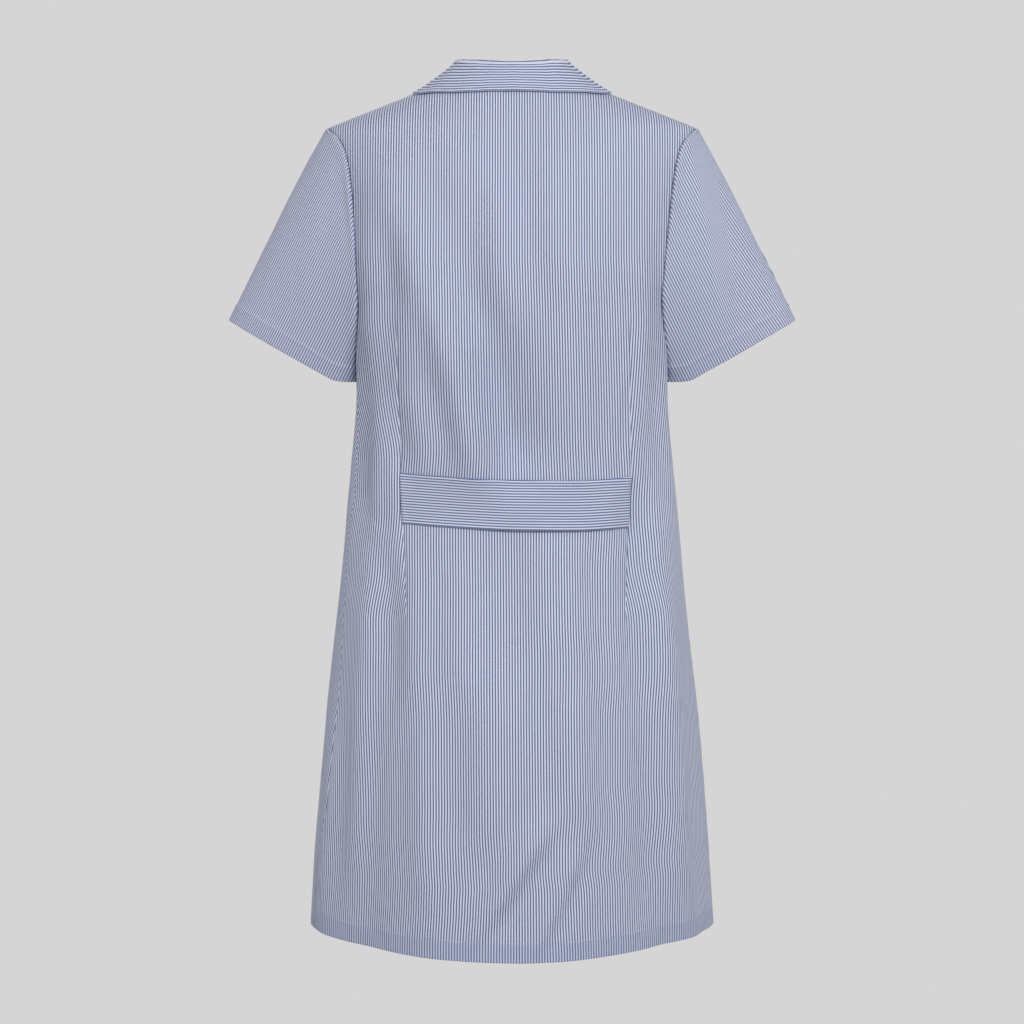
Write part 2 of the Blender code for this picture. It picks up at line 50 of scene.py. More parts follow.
dressForm = {
    "shoulderTip": -0.0536,
    "underarm": -0.254,
    "sideHem": -0.9525,
    "backHemDrop": 0.0085,
    "neckHalfWidth": 0.070,
    "backNeckDrop": 0.015,
    "frontNeckDrop": 0.078,
    "neckCurve": 1.5,
    "frontYoke": -0.130,
    "backYoke": -0.070,
    "dartHalfWidth": 0.005,
    "dartSeam": 0.0008,  # depth of the sewn line in a dart's crease
    "dartSeamFrom": 0.0006,
    "dartSeamHalfWidth": 0.0014,
    # horizontal sections: half width, depth behind and in front, how square each half is
    "sections": table("level halfWidth back front backSquare frontSquare", [
        (0.000, 0.0700, 0.040, 0.046, 2.10, 2.10),
        (-0.015, 0.1078, 0.048, 0.060, 2.15, 2.10),
        (-0.050, 0.1960, 0.068, 0.078, 2.25, 2.15),
        (-0.0536, 0.2051, 0.070, 0.080, 2.25, 2.15),
        (-0.090, 0.1980, 0.088, 0.092, 2.30, 2.20),
        (-0.137, 0.1900, 0.101, 0.107, 2.30, 2.20),
        (-0.180, 0.1860, 0.106, 0.120, 2.30, 2.20),
        (-0.220, 0.1805, 0.107, 0.130, 2.30, 2.20),
        (-0.254, 0.1746, 0.106, 0.135, 2.25, 2.20),
        (-0.348, 0.1750, 0.096, 0.140, 2.20, 2.15),
        (-0.429, 0.1814, 0.087, 0.138, 2.20, 2.10),
        (-0.482, 0.1866, 0.086, 0.137, 2.20, 2.10),
        (-0.537, 0.1914, 0.094, 0.138, 2.15, 2.10),
        (-0.619, 0.2004, 0.112, 0.141, 2.05, 2.05),
        (-0.701, 0.2100, 0.127, 0.145, 1.95, 2.05),
        (-0.783, 0.2178, 0.137, 0.149, 1.85, 2.00),
        (-0.866, 0.2246, 0.145, 0.152, 1.75, 2.00),
        (-0.961, 0.2310, 0.151, 0.155, 1.70, 2.00),
    ]),
    # how far the back and the fronts reach to the side along the armhole seam
    "armhole": table("level back front", [
        (-0.2540, 0.1746, 0.1746),
        (-0.2515, 0.1716, 0.1712),
        (-0.2445, 0.1686, 0.1672),
        (-0.2310, 0.1680, 0.1650),
        (-0.2080, 0.1686, 0.1645),
        (-0.1780, 0.1703, 0.1655),
        (-0.1480, 0.1730, 0.1680),
        (-0.1180, 0.1765, 0.1720),
        (-0.0930, 0.1808, 0.1775),
        (-0.0760, 0.1862, 0.1848),
        (-0.0630, 0.1950, 0.1945),
        (-0.0536, 0.2051, 0.2051),
    ]),
    # side seams in degrees behind the side line, and the centre back's shift
    "turns": table("level leftSeam rightSeam centreBack", [
        (-0.200, 0.0, 0.0, 0.0000),
        (-0.254, 0.0, 0.0, -0.0012),
        (-0.350, 6.0, 0.5, -0.0030),
        (-0.480, 13.0, 1.0, -0.0055),
        (-0.600, 18.0, 1.5, -0.0065),
        (-0.720, 21.5, 2.0, -0.0070),
        (-0.800, 21.5, 2.0, -0.0075),
        (-0.870, 15.0, 2.0, -0.0080),
        (-0.961, 13.0, 2.0, -0.0080),
    ]),
    # darts: distance from the centre back, depth of the crease, and the cloth taken in
    "darts": table("level reach crease intake", [
        (-0.200, 0.1262, 0.0000, 0.0000),
        (-0.262, 0.1267, 0.0000, 0.0000),
        (-0.300, 0.1268, 0.0002, 0.0026),
        (-0.360, 0.1270, 0.0010, 0.0086),
        (-0.470, 0.1265, 0.0016, 0.0190),
        (-0.540, 0.1240, 0.0010, 0.0110),
        (-0.605, 0.1207, 0.0000, 0.000),
        (-0.720, 0.1190, 0.0000, 0.000),
    ]),
}

# Soft folds that run down the dress: start and end level, angle round the dress at both, half width
# in degrees, and height (a trough where negative)
hangingFolds = [
    (-0.52, -1.02, 34, 24, 7, 0.0040),
    (-0.50, -1.02, 48, 42, 6, -0.0040),
    (-0.56, -1.04, 66, 62, 8, 0.0035),
    (-0.60, -1.06, 86, 88, 9, -0.0025),
    (-0.62, -1.05, 104, 112, 8, 0.0030),
    (-0.52, -1.02, 136, 140, 6, -0.0045),
    (-0.54, -1.02, 150, 154, 5, 0.0040),
    (-0.42, -1.03, -22, -20, 9, -0.0040),
    (-0.38, -1.05, -52, -56, 10, 0.0045),
    (-0.44, -1.04, -78, -76, 8, -0.0030),
    (-0.40, -1.04, -106, -112, 9, 0.0040),
    (-0.36, -1.02, -140, -142, 9, -0.0045),
    (-0.06, -0.36, 118, 66, 9, 0.0025),
    (-0.24, -0.50, 18, 30, 8, -0.0030),
    (-0.24, -0.50, 162, 152, 8, -0.0030),
]

# Soft creases and slack places, each from one point to another in x and z: which face of the dress
# (1 behind, -1 in front), half width and height
softCreases = [
    (1, 0.150, -0.420, 0.100, -0.470, 0.012, 0.0012),
    (1, -0.150, -0.420, -0.100, -0.470, 0.012, 0.0010),
    (1, 0.160, -0.500, 0.115, -0.520, 0.010, 0.0010),
    (1, -0.165, -0.500, -0.118, -0.520, 0.010, 0.0010),
    (-1, 0.110, -0.180, 0.040, -0.330, 0.018, 0.0016),
    (-1, -0.120, -0.200, -0.060, -0.360, 0.018, 0.0014),
    (-1, 0.060, -0.800, -0.020, -0.940, 0.014, 0.0014),
]

# Places where the cloth tilts along a line, drawn from its top end: the same columns, but the last is the
# slope, above 0 where the cloth falls towards the picture's right
tiltedPlaces = [
    (1, 0.118, -0.100, 0.060, -0.290, 0.026, 0.55),
    (1, 0.062, -0.250, 0.010, -0.450, 0.026, 0.95),
    (1, -0.016, -0.060, -0.044, -0.270, 0.026, -0.40),
    (1, 0.026, -0.110, 0.020, -0.270, 0.018, -0.34),
    (1, 0.120, -0.340, 0.110, -0.450, 0.011, -0.20),
    (1, 0.120, -0.240, 0.072, -0.440, 0.016, 0.50),
    (1, 0.028, -0.300, 0.022, -0.440, 0.018, 0.24),
    (1, 0.146, -0.150, 0.140, -0.330, 0.014, 0.60),
    (1, -0.152, -0.170, -0.152, -0.430, 0.010, 0.46),
    (1, 0.134, -0.410, 0.134, -0.510, 0.008, -0.32),
    (1, -0.040, -0.270, -0.050, -0.440, 0.024, -0.20),
    (1, -0.092, -0.180, -0.085, -0.400, 0.014, 0.10),
    (1, -0.133, -0.330, -0.127, -0.440, 0.005, -0.37),
    (1, -0.122, -0.350, -0.112, -0.430, 0.004, 0.31),
    (1, 0.040, -0.520, 0.050, -0.660, 0.020, 0.30),
    (1, 0.083, -0.520, 0.090, -0.690, 0.014, 0.20),
    (1, 0.122, -0.530, 0.118, -0.700, 0.012, -0.36),
    (1, 0.112, -0.700, 0.108, -0.900, 0.012, -0.20),
    (1, -0.078, -0.500, -0.086, -0.660, 0.016, 0.30),
    (1, -0.086, -0.660, -0.098, -0.820, 0.018, 0.26),
    (1, -0.020, -0.490, -0.020, -0.640, 0.022, -0.34),
    (1, 0.050, -0.660, 0.040, -0.860, 0.026, -0.34),
    (1, -0.030, -0.790, 0.040, -0.900, 0.014, -0.40),
    (1, -0.044, -0.640, -0.054, -0.820, 0.018, -0.34),
    (1, -0.050, -0.815, 0.036, -0.945, 0.009, 0.66),
    (1, -0.084, -0.835, -0.030, -0.955, 0.008, 0.60),
    (1, -0.146, -0.440, -0.152, -0.700, 0.016, -0.80),
    (1, -0.150, -0.700, -0.160, -0.930, 0.012, -0.52),
    (1, -0.182, -0.600, -0.200, -0.940, 0.012, 0.80),
    (1, 0.156, -0.345, 0.160, -0.500, 0.014, -0.74),
    (1, 0.150, -0.520, 0.152, -0.640, 0.010, 0.34),
    (1, 0.170, -0.600, 0.184, -0.900, 0.010, -0.42),
    (1, 0.192, -0.700, 0.208, -0.950, 0.009, 0.70),
    (-1, 0.100, -0.150, 0.060, -0.330, 0.024, 0.30),
    (-1, -0.050, -0.160, -0.080, -0.360, 0.024, -0.28),
    (-1, 0.090, -0.540, 0.110, -0.860, 0.016, 0.30),
    (-1, -0.070, -0.520, -0.090, -0.820, 0.016, -0.30),
    (-1, -0.150, -0.560, -0.165, -0.900, 0.013, 0.36),
    (-1, 0.030, -0.780, 0.080, -0.930, 0.010, 0.36),
]

clothFacts = {
    "single": 0.0006,  # thickness of one layer
    "double": 0.0012,  # where it is turned or faced
    "ripple": 0.00028,  # height of the small unevenness
    "rippleSizes": (0.020, 0.032, 0.047, 0.071, 0.104),
    "rippleMiddle": 0.06,
    "rippleRadius": 0.15,  # turns an angle round the body into a distance
    "rippleSeed": 3,
    "creaseBeyond": 0.15,  # share of its length that a crease runs on past each end
    "creaseFade": 0.45,
    "sideCalm": 0.25,  # creases fade out towards the side lines
    "rollDepth": 0.0003,  # how far an edge turns in at a seam
    "rollWidth": 0.0016,
    "hemBand": 0.021,
    "hemEnd": 0.0012,  # the doubled hem ends over this
    "stitchGroove": 0.00022,
    "grooveHalfWidth": 0.0011,
    "edgeGroove": 0.00018,  # of the topstitching on the collar and the half belt
    "edgeGrooveHalfWidth": 0.0010,
    "lineLift": 0.0001,  # a line of stitches lies this far over its cloth
    "pucker": {"pitch": 0.016, "beat": 0.071, "shift": 1, "middle": 0.017, "width": 0.009, "height": 0.00016},
}

# The stripes of the back and the fronts: the share of the depth that counts across the upper cloth, and
# how the pitch changes down it
stripeCut = {
    "top": -0.33, "run": 0.26, "least": 0.08,
    "scale": 1.03, "less": 0.055, "lessFrom": -0.15, "lessRun": 0.45,
}

# How the bend over the shoulder is eased: rows, distance from the seams, share and number of passes
shoulderEase = {"rows": 5, "fromSeam": 0.010, "share": 0.5, "passes": 24}


def read(rows, column, level):
    # a column between the rows of a table, with no overshoot
    at, value = rows["level"], rows[column]
    step = np.diff(at)
    rise = np.diff(value) / step
    slope = np.concatenate([rise[:1], np.zeros(len(at) - 2), rise[-1:]])
    same = rise[:-1] * rise[1:] > 0
    before, after = 2 * step[1:] + step[:-1], step[1:] + 2 * step[:-1]
    safe = np.where(same, rise[:-1], 1), np.where(same, rise[1:], 1)
    slope[1:-1] = np.where(same, (before + after) / (before / safe[0] + after / safe[1]), 0)
    level = np.clip(level, at[0], at[-1])
    i = np.clip(np.searchsorted(at, level, side="right") - 1, 0, len(at) - 2)
    t = (level - at[i]) / step[i]
    start = value[i] + step[i] * slope[i] * t * (1 - t) ** 2
    end = (value[i + 1] - value[i]) * t * t * (3 - 2 * t)
    return start + end - step[i] * slope[i + 1] * t * t * (1 - t)


def ease(t):
    t = np.clip(t, 0.0, 1.0)
    return t * t * (3 - 2 * t)


def unit(vector):
    return vector / np.linalg.norm(vector, axis=-1, keepdims=True)


def bell(away, width):
    return np.exp(-((away / width) ** 2))


def signedPower(value, power):
    return np.sign(value) * np.abs(value) ** power


def walkedOn(line):
    # distance along a line from its first point to each of its points
    return np.concatenate([[0], np.cumsum(np.linalg.norm(np.diff(line, axis=0), axis=1))])


def form(angle, level):
    # angle 0 is the left side line, 90 degrees the back
    rows = dressForm["sections"]
    behind = np.sin(angle) >= 0
    depth = np.where(behind, read(rows, "back", level), read(rows, "front", level))
    square = np.where(behind, read(rows, "backSquare", level), read(rows, "frontSquare", level))
    cos, sin = np.cos(angle), np.sin(angle)
    across = read(rows, "halfWidth", level) * signedPower(cos, 2 / square)
    out = depth * signedPower(sin, 2 / square)
    return np.stack([across, out, level + 0 * angle], axis=-1)


def angleAt(across, level, behind):
    rows = dressForm["sections"]
    square = read(rows, "backSquare" if behind else "frontSquare", level)
    share = np.clip(np.abs(across) / read(rows, "halfWidth", level), 0, 1)
    turned = np.arccos(share ** (square / 2))
    turned = np.where(across < 0, math.pi - turned, turned)
    return turned if behind else -turned


def normalsAt(angle, level):
    turn, rise = 0.01, 0.002
    roundWay = form(angle + turn, level) - form(angle - turn, level)
    upWay = form(angle, np.minimum(level + rise, 0)) - form(angle, level - rise)
    return unit(np.cross(roundWay, upWay))


def foldHeight(angle, level):
    height = np.zeros(np.broadcast(angle, level).shape)
    for top, bottom, topAngle, bottomAngle, halfWidth, rise in hangingFolds:
        down = (top - level) / (top - bottom)
        middle = topAngle + (bottomAngle - topAngle) * down
        away = (np.degrees(angle) - middle + 180) % 360 - 180
        along = ease(down * 1.8) * ease((1 - down) * 6)
        height += rise * along * bell(away, halfWidth)
    return height


def creaseHeight(points, rows, behind, tilted=False):
    # rises or slopes along lines drawn on the back or front view
    beyond, fade = clothFacts["creaseBeyond"], clothFacts["creaseFade"]
    height = np.zeros(points.shape[:-1])
    for face, x0, z0, x1, z1, halfWidth, rise in rows:
        start, run = np.array([x0, z0]), np.array([x1 - x0, z1 - z0])
        from0 = points[..., [0, 2]] - start
        along = from0 @ run / (run @ run)
        away = (from0[..., 0] * run[1] - from0[..., 1] * run[0]) / np.linalg.norm(run)
        ends = ease((along + beyond) / fade) * ease((1 + beyond - along) / fade)
        seen = behind if face > 0 else ~behind
        profile = np.exp(-((away / halfWidth) ** 2) * (0.5 if tilted else 1))
        height += rise * ends * profile * seen * (-away if tilted else 1)
    return height


def ripple(u, v, seed):
    # small unevenness of a hanging cloth, longer down its length than across it
    random = np.random.RandomState(seed)
    height = np.zeros(np.broadcast(u, v).shape)
    for size in clothFacts["rippleSizes"]:
        for _ in range(3):
            lean = random.uniform(-0.35, 0.35)
            phase = random.uniform(0, math.tau, 2)
            across = math.tau * (u + lean * v) / size + phase[0]
            along = math.tau * v / (size * random.uniform(3, 6)) + phase[1]
            height += np.sin(across) * np.sin(along) * size / clothFacts["rippleMiddle"]
    return clothFacts["ripple"] * height / 3


def clothPoint(angle, level, lift=0.0):
    angle, level = np.broadcast_arrays(np.asarray(angle, float), np.asarray(level, float))
    base, out = form(angle, level), normalsAt(angle, level)
    rise = foldHeight(angle, level) + lift
    behind = np.sin(angle) >= 0
    calm = ease(np.abs(np.sin(angle)) / clothFacts["sideCalm"])
    rise = rise + creaseHeight(base, softCreases, behind) * calm
    rise = rise + creaseHeight(base, tiltedPlaces, behind, True) * calm
    rise = rise + ripple(angle * clothFacts["rippleRadius"], level, clothFacts["rippleSeed"])
    return base + out * rise[..., None]


def centreBack(level):
    return read(dressForm["turns"], "centreBack", level)


def dartCrease(angle, level):
    rows = dressForm["darts"]
    across = np.abs(form(angle, level)[..., 0] - centreBack(level))
    away = np.abs(across - read(rows, "reach", level))
    crease = read(rows, "crease", level)
    soft = crease * ease(1 - away / dressForm["dartHalfWidth"])
    sewn = ease(crease / dressForm["dartSeamFrom"]) * ease(1 - away / dressForm["dartSeamHalfWidth"])
    return (soft + dressForm["dartSeam"] * sewn) * (np.sin(angle) > 0)


def hemLevel(angle):
    return dressForm["sideHem"] - dressForm["backHemDrop"] * np.maximum(np.sin(angle), 0) ** 2


def armholeAngle(level, behind):
    reach = read(dressForm["armhole"], "back" if behind else "front", level)
    return angleAt(reach, level, behind)


def armholeLevels(count):
    # from the underarm to the shoulder tip, evenly along the seam
    dense = np.linspace(dressForm["underarm"], dressForm["shoulderTip"], 800)
    walked = walkedOn(form(armholeAngle(dense, True), dense))
    return np.interp(np.linspace(0, walked[-1], count), walked, dense)


def neckline(share, drop):
    turned = share * math.pi / 2
    return dressForm["neckHalfWidth"] * np.cos(turned), -drop * np.sin(turned) ** dressForm["neckCurve"]


def spread(start, end, level, count, startSteps, endSteps):
    # angles from start to end on one level, with close steps at the ends, in metres
    dense = np.linspace(start, end, 240)
    walked = walkedOn(form(dense, level))
    total = walked[-1]
    first, last = startSteps[-1], total - endSteps[-1]
    even = np.linspace(first, last, count + 1)[1:-1]
    places = np.concatenate([startSteps, even, total - np.array(endSteps[::-1])])
    return np.interp(places, walked, dense)


def panelGrid(spec, rowAngles, edges, yokeCentre, neckAngles, neckLevels):
    # angle and level of each point, row by row from the hem to the neckline
    underarm, tip = dressForm["underarm"], dressForm["shoulderTip"]
    sideHem = dressForm["sideHem"]
    length = underarm - sideHem
    near = np.array(spec["hemSteps"]) / length
    shares = np.concatenate([near, np.linspace(near[-1], 1, spec["skirtRows"] + 1)[1:-1]])
    angles, levels = [], []
    for share in shares:
        row = rowAngles(*edges(sideHem + length * share), sideHem + length * share)
        angles.append(row)
        levels.append(hemLevel(row) + (underarm - hemLevel(row)) * share)
    for level in armholeLevels(spec["armholeRows"]):
        row = rowAngles(*edges(level), level)
        centre = underarm + (yokeCentre - underarm) * (level - underarm) / (tip - underarm)
        inward = (np.abs(np.sin(row)) - abs(math.sin(row[0]))) / (1 - abs(math.sin(row[0])))
        angles.append(row)
        levels.append(level + (centre - level) * np.clip(inward, 0, 1) ** 2)
    tipAngles, tipLevels = angles[-1], levels[-1]
    for share in np.linspace(0, 1, spec["yokeRows"] + 1)[1:]:
        angles.append(tipAngles * (1 - share) + neckAngles * share)
        levels.append(tipLevels * (1 - share) + neckLevels * share)
    return np.array(angles), np.array(levels)


def sideSeam(level, side):
    return math.radians(float(read(dressForm["turns"], side + "Seam", level)))


def gridNormals(points, closed=False):
    up = np.gradient(points, axis=0)
    if closed:
        roundWay = np.roll(points, -1, axis=1) - np.roll(points, 1, axis=1)
    else:
        roundWay = np.gradient(points, axis=1)
    return unit(np.cross(roundWay, up))


def distanceTo(points, line):
    # nearest distance from each point of a grid to a seam's points
    flat = points.reshape(-1, 3)
    best = np.full(len(flat), 1.0)
    for start, end in zip(line, line[1:]):
        run = end - start
        t = np.clip((flat - start) @ run / (run @ run), 0, 1)
        best = np.minimum(best, np.linalg.norm(flat - start - t[:, None] * run, axis=1))
    return best.reshape(points.shape[:-1])


def rolledIn(away):
    return clothFacts["rollDepth"] * (1 - ease(away / clothFacts["rollWidth"]))


def hemRelief(u, v, fromHem, band, pucker):
    # depth of the stitching's groove, with the puckers below it
    waves = np.sin(math.tau * (u + 0.5 * v) / pucker["pitch"])
    waves = waves * np.sin(math.tau * u / pucker["beat"] + pucker["shift"])
    near = ease(fromHem / 0.004) * bell(fromHem - pucker["middle"], pucker["width"])
    groove = clothFacts["stitchGroove"] * bell(fromHem - band, clothFacts["grooveHalfWidth"])
    return groove - pucker["height"] * waves * near


def edgeGroove(fromEdge, spec):
    # depth of the topstitching of the collar and the half belt
    return clothFacts["edgeGroove"] * bell(fromEdge - spec["stitchFromEdge"], clothFacts["edgeGrooveHalfWidth"])


def layersAt(fromHem, band):
    # 1 where the hem is doubled and 0 above it, and the cloth's thickness
    doubled = 1 - ease((fromHem - band) / clothFacts["hemEnd"])
    return doubled, clothFacts["single"] + (clothFacts["double"] - clothFacts["single"]) * doubled


def linked(name, data):
    made = bpy.data.objects.new(name, data)
    bpy.context.scene.collection.objects.link(made)
    return made


def addMesh(name, verts, faces, finish, cut=None, facts=None):
    mesh = bpy.data.meshes.new(name)
    mesh.from_pydata([tuple(v) for v in verts], [], faces)
    if cut is not None:
        mesh.uv_layers.new(name="cut").data.foreach_set("uv", np.asarray(cut, np.float32).ravel())
    for label, values in (facts or {}).items():
        field = mesh.attributes.new(label, "FLOAT", "POINT")
        field.data.foreach_set("value", np.asarray(values, np.float32))
    mesh.materials.append(finish)
    mesh.update()
    mesh.shade_smooth()
    return linked(name, mesh)


def addShell(name, outer, inner, before, after, v, facts, finish, closed=False):
    # a closed wall between two grids. before and after are u on either side of each column
    rows, columns = outer.shape[:2]
    count = rows * columns
    last = columns if closed else columns - 1
    i, j = np.meshgrid(np.arange(rows - 1), np.arange(last), indexing="ij")
    i, j = i.ravel(), j.ravel()
    k = (j + 1) % columns
    corners = [(i, j, after), (i, k, before), (i + 1, k, before), (i + 1, j, after)]
    r, c = rows // 2, columns // 2
    facing = np.cross(outer[r, c + 1] - outer[r, c], outer[r + 1, c] - outer[r, c])
    outward = float(facing @ (outer[r, c] - inner[r, c])) > 0
    quads, cut = [], []
    for inside in (0, 1):
        order = corners if outward != bool(inside) else corners[::-1]
        quads.append(np.stack([inside * count + a * columns + b for a, b, _ in order], axis=1))
        cut.append(np.stack([np.stack([u[a, b], v[a, b]], axis=-1) for a, b, u in order], axis=1))
    # borders: one point between the walls rounds each edge
    across, back = range(columns), range(columns - 2, -1, -1)
    if closed:
        borders = [[(0, c) for c in across], [(rows - 1, c) for c in across][::-1]]
    else:
        border = [(0, c) for c in across] + [(r, columns - 1) for r in range(1, rows)]
        borders = [border + [(rows - 1, c) for c in back] + [(r, 0) for r in range(rows - 2, 0, -1)]]
    mids, edgeOf = [], []
    for border in borders:
        base = 2 * count + len(mids)
        for r, c in border:
            step = np.zeros(3)
            if r in (0, rows - 1):
                step += unit(outer[r, c] - outer[1 if r == 0 else rows - 2, c])
            if not closed and c in (0, columns - 1):
                step += unit(outer[r, c] - outer[r, 1 if c == 0 else columns - 2])
            thick = np.linalg.norm(outer[r, c] - inner[r, c])
            mids.append((outer[r, c] + inner[r, c]) / 2 + unit(step) * thick * 0.4)
            edgeOf.append(r * columns + c)
        size = len(border)
        for n in range(size):
            (r0, c0), (r1, c1) = border[n], border[(n + 1) % size]
            start, end = r0 * columns + c0, r1 * columns + c1
            m0, m1 = base + n, base + (n + 1) % size
            a = (after[r0, c0] if c1 != c0 else before[r0, c0], v[r0, c0])
            b = (before[r1, c1], v[r1, c1])
            pair = [[end, start, m0, m1], [m1, m0, count + start, count + end]]
            quads.append(np.array(pair if outward else [face[::-1] for face in pair]))
            cut.append(np.array([[b, a, a, b]] * 2))
    verts = np.concatenate([outer.reshape(-1, 3), inner.reshape(-1, 3), np.array(mids)])
    flat = {label: values.ravel() for label, values in facts.items()}
    whole = {label: np.concatenate([values, values, values[edgeOf]]) for label, values in flat.items()}
    return addMesh(name, verts, np.concatenate(quads).tolist(), finish, np.concatenate(cut), whole)


def stripeSpread(level):
    # the upper back is cut so that its stripes don't crowd towards the sides: how much of the depth counts
    return ease((stripeCut["top"] - level) / stripeCut["run"]) * (1 - stripeCut["least"]) + stripeCut["least"]


def walkedAcross(points, centre, depthShare=None):
    # distance along each row from its centre column
    step = np.diff(points, axis=1)
    if depthShare is not None:
        share = (depthShare[:, 1:] + depthShare[:, :-1]) / 2
        step = np.stack([step[..., 0], step[..., 1] * np.sqrt(share)], axis=-1)
    walked = np.cumsum(np.linalg.norm(step, axis=-1), axis=1)
    walked = np.concatenate([np.zeros((len(points), 1)), walked], axis=1)
    return walked - walked[:, centre:centre + 1]


def walkedAlong(points, row):
    step = np.linalg.norm(np.diff(points, axis=0), axis=-1)
    walked = np.concatenate([np.zeros((1, points.shape[1])), np.cumsum(step, axis=0)])
    return walked - walked[row:row + 1]


def softened(points, tipRow, seams):
    # eases the bend from the back or front over onto the shoulder, away from the panel's edges
    spec = shoulderEase
    near = bell(np.arange(len(points)) - tipRow, spec["rows"])[:, None]
    inside = ease(np.min([distanceTo(points, seam) for seam in seams], axis=0) / spec["fromSeam"])
    share = (near * inside)[..., None] * spec["share"]
    for _ in range(spec["passes"]):
        middle = (np.roll(points, 1, axis=0) + np.roll(points, -1, axis=0)) / 2
        points = points + (middle - points) * share
    return points


def buildPanel(name, angles, levels, seams, finish, lift=0.0, centre=0, intake=(), tipRow=0):
    # outer and inner walls of a panel of the body, turned in along its seams
    base = softened(clothPoint(angles, levels, lift - dartCrease(angles, levels)), tipRow, seams)
    out, height = normalsAt(angles, levels), base[..., 2]
    v = walkedAlong(base, 0)
    u = walkedAcross(base, centre, stripeSpread(height))
    layers, thick = layersAt(v, clothFacts["hemBand"])
    drop = np.max([rolledIn(distanceTo(base, seam)) for seam in seams], axis=0)
    drop = drop + hemRelief(u, v, v, clothFacts["hemBand"], clothFacts["pucker"])
    outer = base - out * drop[..., None]
    inner = outer - out * thick[..., None]
    less = stripeCut["less"] * ease((stripeCut["lessFrom"] - height) / stripeCut["lessRun"])
    u = u * (stripeCut["scale"] - less)
    before, after = u.copy(), u.copy()
    for column, side in intake:
        taken = read(dressForm["darts"], "intake", levels[:, column])[:, None] * side
        if side > 0:
            after[:, column:] += taken
            before[:, column + 1:] += taken
        else:
            before[:, :column + 1] += taken
            after[:, :column] += taken
    v = v - v[-1:, centre:centre + 1]
    return addShell(name, outer, inner, before, after, v, {"layers": layers}, finish)


class Wire:
    # a shader socket that takes plain arithmetic
    def __init__(self, tree, socket=None):
        self.tree, self.socket = tree, socket

    def node(self, kind, settings=(), inputs=(), output=0):
        made = self.tree.nodes.new(kind)
        for key, value in dict(settings).items():
            setattr(made, key, value)
        for key, value in dict(inputs).items():
            if isinstance(value, Wire):
                self.tree.links.new(value.socket, made.inputs[key])
            else:
                made.inputs[key].default_value = value
        return Wire(self.tree, made.outputs[output])

    def maths(self, operation, first, second=0.0):
        return self.node("ShaderNodeMath", {"operation": operation}, {0: first, 1: second})

    def __add__(self, other): return self.maths("ADD", self, other)
    def __radd__(self, other): return self.maths("ADD", other, self)
    def __sub__(self, other): return self.maths("SUBTRACT", self, other)
    def __rsub__(self, other): return self.maths("SUBTRACT", other, self)
    def __mul__(self, other): return self.maths("MULTIPLY", self, other)
    def __rmul__(self, other): return self.maths("MULTIPLY", other, self)
    def __truediv__(self, other): return self.maths("DIVIDE", self, other)

    def mix(self, first, second):
        # from first to second colour by this value
        settings = {"data_type": "RGBA", "clamp_factor": True}
        return self.node("ShaderNodeMix", settings, {0: self, 6: first, 7: second}, 2)

    def between(self, low, high):
        # 0 below low, 1 above high, smooth between
        settings = {"interpolation_type": "SMOOTHSTEP"}
        return self.node("ShaderNodeMapRange", settings, {0: self, 1: low, 2: high})

    def noise(self, vector, scale, detail=2.0, roughness=0.5):
        inputs = {"Vector": vector, "Scale": scale, "Detail": detail, "Roughness": roughness}
        return self.node("ShaderNodeTexNoise", (), inputs)

    def stretched(self, vector, scale):
        return self.noise(self.node("ShaderNodeMapping", (), {"Vector": vector, "Scale": scale}), 1.0, 1.0)

    def attribute(self, name):
        return self.node("ShaderNodeAttribute", {"attribute_name": name}, (), 2)


def newMaterial(name, **fixed):
    made = bpy.data.materials.new(name)
    made.use_nodes = True
    shader = made.node_tree.nodes["Principled BSDF"]
    for key, value in fixed.items():
        shader.inputs[key.replace("_", " ")].default_value = value
    return made, Wire(made.node_tree), shader


def feed(shader, wire, name):
    wire.tree.links.new(wire.socket, shader.inputs[name])


def feedBump(shader, strength, distance, height):
    inputs = {"Strength": strength, "Distance": distance, "Height": height}
    feed(shader, height.node("ShaderNodeBump", (), inputs), "Normal")


def linear(red, green, blue):
    # a colour as a picture shows it, 0 to 255, as light
    share = [c / 255 for c in (red, green, blue)]
    return (*[c / 12.92 if c <= 0.04045 else ((c + 0.055) / 1.055) ** 2.4 for c in share], 1.0)


stripeFacts = {
    "pitch": 0.0030,
    "blueShare": 0.50,
    "softness": 0.10,
    "blue": linear(92, 109, 152),
    "white": linear(221, 223, 238),
    "hemTint": linear(130, 142, 182),  # where the hem is double and lets less light through
    "yarn": 0.00036,  # width of one thread
    "roughness": 0.86,
    "sheen": 0.26,
    "slubs": (2600.0, 55.0, 1.0),  # thick places of the threads, along and across
    "weftSlubs": (70.0, 2400.0, 1.0),
    "wander": 0.00008,  # how far a stripe strays
    "wanderScale": 260.0,
    "shift": 100.25,  # puts the centre line on a stripe
    "edgingShift": 0.74,
    "edgingEnd": (0.0042, 0.0045),
    "bump": (0.25, 0.00006),
}


